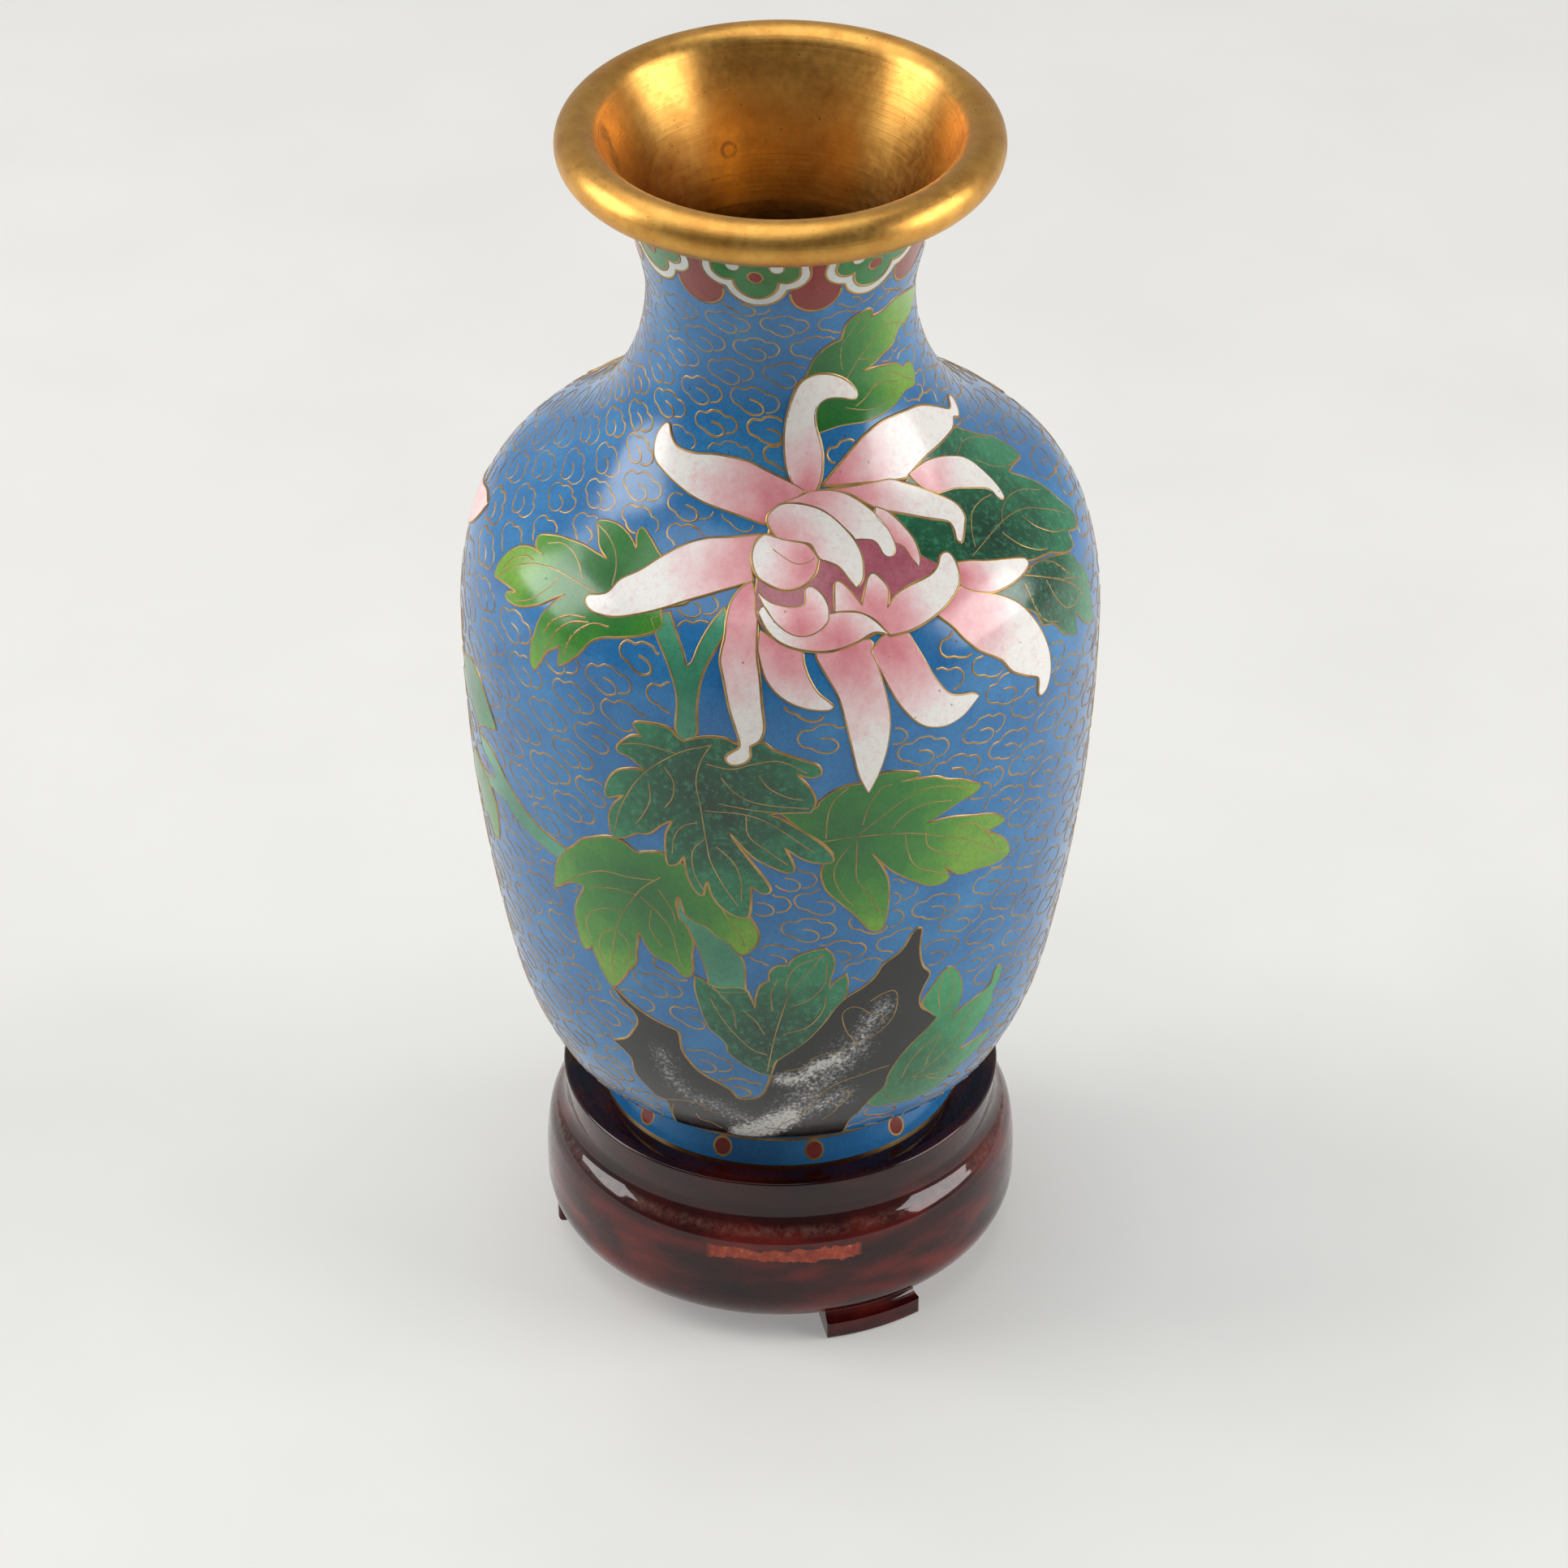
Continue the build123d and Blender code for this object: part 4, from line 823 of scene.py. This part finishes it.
def add_spray():
    """All patches with their wires; returns the outlines, so the clouds keep clear of them."""
    loops = []
    for side in ("", "_back"):
        for name, kind, level, heart, reach, points in SHAPES:
            if side:
                if name in FRONT_ONLY:
                    continue
                points, heart = moved_round(points), moved_round([heart])[0]
            loop = outline(points)
            shade = rock_shade if kind == "rock" else heart_shade(heart, reach)
            material, slot = ENAMELS[kind]
            patch(name + side, loop, level, material, shade)
            wires(name + "_wire" + side, [(True, loop)], level)
            loops.append(loop)
        for i, (level, lines) in enumerate(VEINS):
            if side:
                if i in FRONT_VEINS:
                    continue
                lines = [moved_round(line) for line in lines]
            wires(f"veins_{i}{side}", [(False, catmull(line, False)) for line in lines], level)
    return loops


# ---------------------------------------------------------------- cloud wires
def cloud_scale(s):
    """Clouds are smaller on the narrow neck."""
    return 0.7 + 0.3 * radius_at(s) / BELLY_R


def placed(shape, a, s, size, tilt):
    """A small wire shape set at (a, s), true to size on the narrow parts too."""
    points = np.array(catmull(shape, False)) * size
    c, d = math.cos(tilt), math.sin(tilt)
    tilted = points @ np.array([[c, d], [-d, c]])
    tilted[:, 0] *= BELLY_R / radius_at(s)
    return tilted + (a, s)


def clear_of(points, loops, reach=2):
    """Which points keep CLOUD_MARGIN away from every outline; those out of reach don't count."""
    good = np.ones(len(points), bool)
    low, high = points.min(0) - reach, points.max(0) + reach
    for loop in loops:
        if (loop.min(0) > high).any() or (loop.max(0) < low).any():
            continue
        good &= ~inside(points, loop) & (gap(points, loop) > CLOUD_MARGIN)
    return good


def runs(points, good):
    """The unbroken stretches of the good points."""
    found = [[]]
    for point, ok in zip(points, good):
        if ok:
            found[-1].append(point)
        else:
            found.append([])
    return [run for run in found if len(run) >= SHORTEST_RUN]


def cloud_rows(low, high):
    """Heights of the cloud rows between low and high, counted from row 0 at CLOUD_START."""
    rows, s, k = [], CLOUD_START[1], 0
    while s < high:
        rows.append((s, k))
        s += CLOUD_STEP[1] * cloud_scale(s)
        k += 1
    s, k = CLOUD_START[1], 0
    while s > low:
        s -= CLOUD_STEP[1] * cloud_scale(s)
        k -= 1
        rows.append((s, k))
    return [r for r in rows if low < r[0] < high]


def add_clouds(name, low, high, loops):
    """Rows of cloud wires over the free ground, staggered like bricks."""
    lines = []
    for s, k in cloud_rows(low, high):
        size = cloud_scale(s)
        count = round(2 * math.pi * radius_at(s) / (CLOUD_STEP[0] * size))
        for i in range(count):
            a = TURN * ((i + (k % 2) / 2) / count) + CLOUD_START[0]
            a += rng.uniform(-0.5, 0.5)
            tilt, grow = rng.uniform(-0.12, 0.12), rng.uniform(0.93, 1.05)
            points = placed(CLOUD, a, s + rng.uniform(-0.25, 0.25), size * grow, tilt)
            good = clear_of(points, loops)
            if good.mean() > CLOUD_SHOWN:
                lines += [(False, run) for run in runs(points, good)]
                continue
            hook = placed(HOOK, a + rng.uniform(-2, 2), s, size, tilt)
            if clear_of(hook, loops).all():
                lines.append((False, hook))
    wires(name, lines, CLOUD_LEVEL)


# ---------------------------------------------------------------- lappets under the lip
# drawn flat: x mm sideways, height mm above the seat; the same figures as in part.py
LAPPETS, LAPPET_FRONT = 8, math.radians(-9)
LAPPET_LOBES = [(-3.9, 141.9, 3.3), (0.0, 140.0, 4.3), (3.9, 141.9, 3.3)]
LAPPET_BORDER, LAPPET_TOP = 1.3, 149.6
LAPPET_DOT = (0.0, 140.8, 1.0)
LAPPET_SPOTS = [(-2.9, 142.7, 0.9), (2.9, 142.7, 0.9)]
SCALLOP = (0.0, 138.0, 3.4)


def band_line(points, at):
    """Flat (x, height) points of the neck band as (a, s), for a motif at that angle."""
    x, z = np.array(points, float).T
    row = np.interp(z, RISING[:, 2], RISING[:, 0])
    return np.stack([(at + np.arcsin(x / radius_at(row))) * BELLY_R, row], 1)


def arc(x, z, radius, start, end, step=6):
    """Points along a circle, from start to end in degrees."""
    angles = np.radians(np.arange(start, end + 1e-6, step))
    return [(x + radius * math.cos(t), z + radius * math.sin(t)) for t in angles]


def small_ring(circle, at):
    """A closed ring round a dot or spot of the band."""
    return band_line(arc(*circle, 0, 350, 20), at)


def lappet_edge(inset):
    """Outline of a lappet from the lip down, round its three lobes and up again."""
    lobes = [(x, z, radius - inset) for x, z, radius in LAPPET_LOBES]
    path = []
    for lobe in lobes:
        others = [o for o in lobes if o is not lobe]
        path += [p for p in arc(*lobe, 180, 360, 4)
                 if all(math.dist(p, o[:2]) > o[2] for o in others)]
    side = lobes[-1][0] + lobes[-1][2]
    return [(-side, LAPPET_TOP)] + path + [(side, LAPPET_TOP)]


def add_band():
    """White spots and all wires of the neck band; returns the outlines of its lappets and
    half-rounds, so the clouds keep clear of them too."""
    lines, rings, lappets, drops = [], [], [], []
    half_round, radius = arc(*SCALLOP, 180, 360), SCALLOP[2]
    pitch = 2 * math.pi / LAPPETS
    for k in range(LAPPETS):
        at = LAPPET_FRONT + k * pitch
        between = at + pitch / 2
        lappets.append(band_line(lappet_edge(0), at))
        drops.append(band_line(half_round + [(radius, LAPPET_TOP), (-radius, LAPPET_TOP)], between))
        lines += [(False, lappets[-1]), (False, band_line(lappet_edge(LAPPET_BORDER), at)),
                  (False, band_line(half_round, between))]
        rings.append((True, small_ring(LAPPET_DOT, at)))
        for i, spot in enumerate(LAPPET_SPOTS):
            loop = small_ring(spot, at)
            patch(f"lappet_spot_{k}_{i}", loop, 0.0, WHITE)
            rings.append((True, loop))
    wires("band_wires", lines)
    wires("dot_rings", rings)
    return lappets + drops


# ---------------------------------------------------------------- studio, in metres
CAMERA_DISTANCE, CAMERA_ELEVATION = 0.95617, math.radians(34.734)
CAMERA_TARGET = Vector((0, 0, 0.07343))
LENS, SENSOR, SHIFT_X = 158.4, 36.0, 0.0023
LIGHT_TARGET = Vector((0, 0, 0.09))
# name, place, size, watts
SOFTBOXES = [("softbox_left", (-0.8, 0.05, 0.48), (0.46, 0.54), 4.6),
             ("softbox_right", (0.82, -0.12, 0.4), (0.56, 0.46), 4.9),
             ("softbox_top", (-0.22, 0.05, 1.3), (1.4, 1.2), 10)]
# brightness of the room: direction from, direction to, strength from, strength to
ROOM_DEPTH = (-0.5, 0.5, 0.12, 0.5)
ROOM_HEIGHT = (0.3, 0.9, 1, 0.4)
FLOOR_HALF = 3


def add_camera():
    data = bpy.data.cameras.new("camera")
    data.lens, data.sensor_width, data.shift_x = LENS, SENSOR, SHIFT_X
    data.clip_start, data.clip_end = 0.01, 20
    camera = in_scene("camera", data)
    back = Vector((0, -math.cos(CAMERA_ELEVATION), math.sin(CAMERA_ELEVATION)))
    aim(camera, CAMERA_TARGET + back * CAMERA_DISTANCE, -back)
    bpy.context.scene.camera = camera


def add_floor():
    """White paper that glows a little, as paper in a light tent does: it softens the shadows."""
    corners = [(-1, -1), (1, -1), (1, 1), (-1, 1)]
    mesh = bpy.data.meshes.new("floor")
    mesh.from_pydata([(x * FLOOR_HALF, y * FLOOR_HALF, 0) for x, y in corners], [], [(0, 1, 2, 3)])
    paper = Finish("paper", Roughness=0.8, Emission_Color=(1, 1, 0.98, 1), Emission_Strength=0.25)
    paper.colour(paper.ramp(paper.noise(40, 3), (0.3, 192, 191, 187), (0.7, 197, 196, 192)))
    floor = in_scene("floor", mesh, paper.material)


def add_world():
    """A room with pale walls behind and beside the vase, dim on the camera's side and above."""
    world = bpy.data.worlds.new("studio")
    world.use_nodes = True
    room = Nodes(world.node_tree, "Generated")
    strength = room.maths("MULTIPLY", room.level(room.axis("Y"), *ROOM_DEPTH),
                          room.level(room.axis("Z"), *ROOM_HEIGHT))
    background = room.tree.nodes["Background"]
    room.feed(background.inputs["Color"], (1.0, 0.99, 0.97, 1))
    room.feed(background.inputs["Strength"], strength)
    bpy.context.scene.world = world


def add_lights():
    for name, place, size, power in SOFTBOXES:
        data = bpy.data.lights.new(name, "AREA")
        data.shape, data.energy = "RECTANGLE", power
        data.size, data.size_y = size
        aim(in_scene(name, data), place, LIGHT_TARGET - Vector(place))
    bpy.context.scene.view_settings.view_transform = "Standard"


finish_cad()
outlines = add_spray() + add_band()
outlines = [loop + (shift, 0) for loop in outlines for shift in (-TURN, 0, TURN)]
for zone in CLOUD_ZONES:
    add_clouds(*zone, outlines)
add_floor()
add_world()
add_lights()
add_camera()
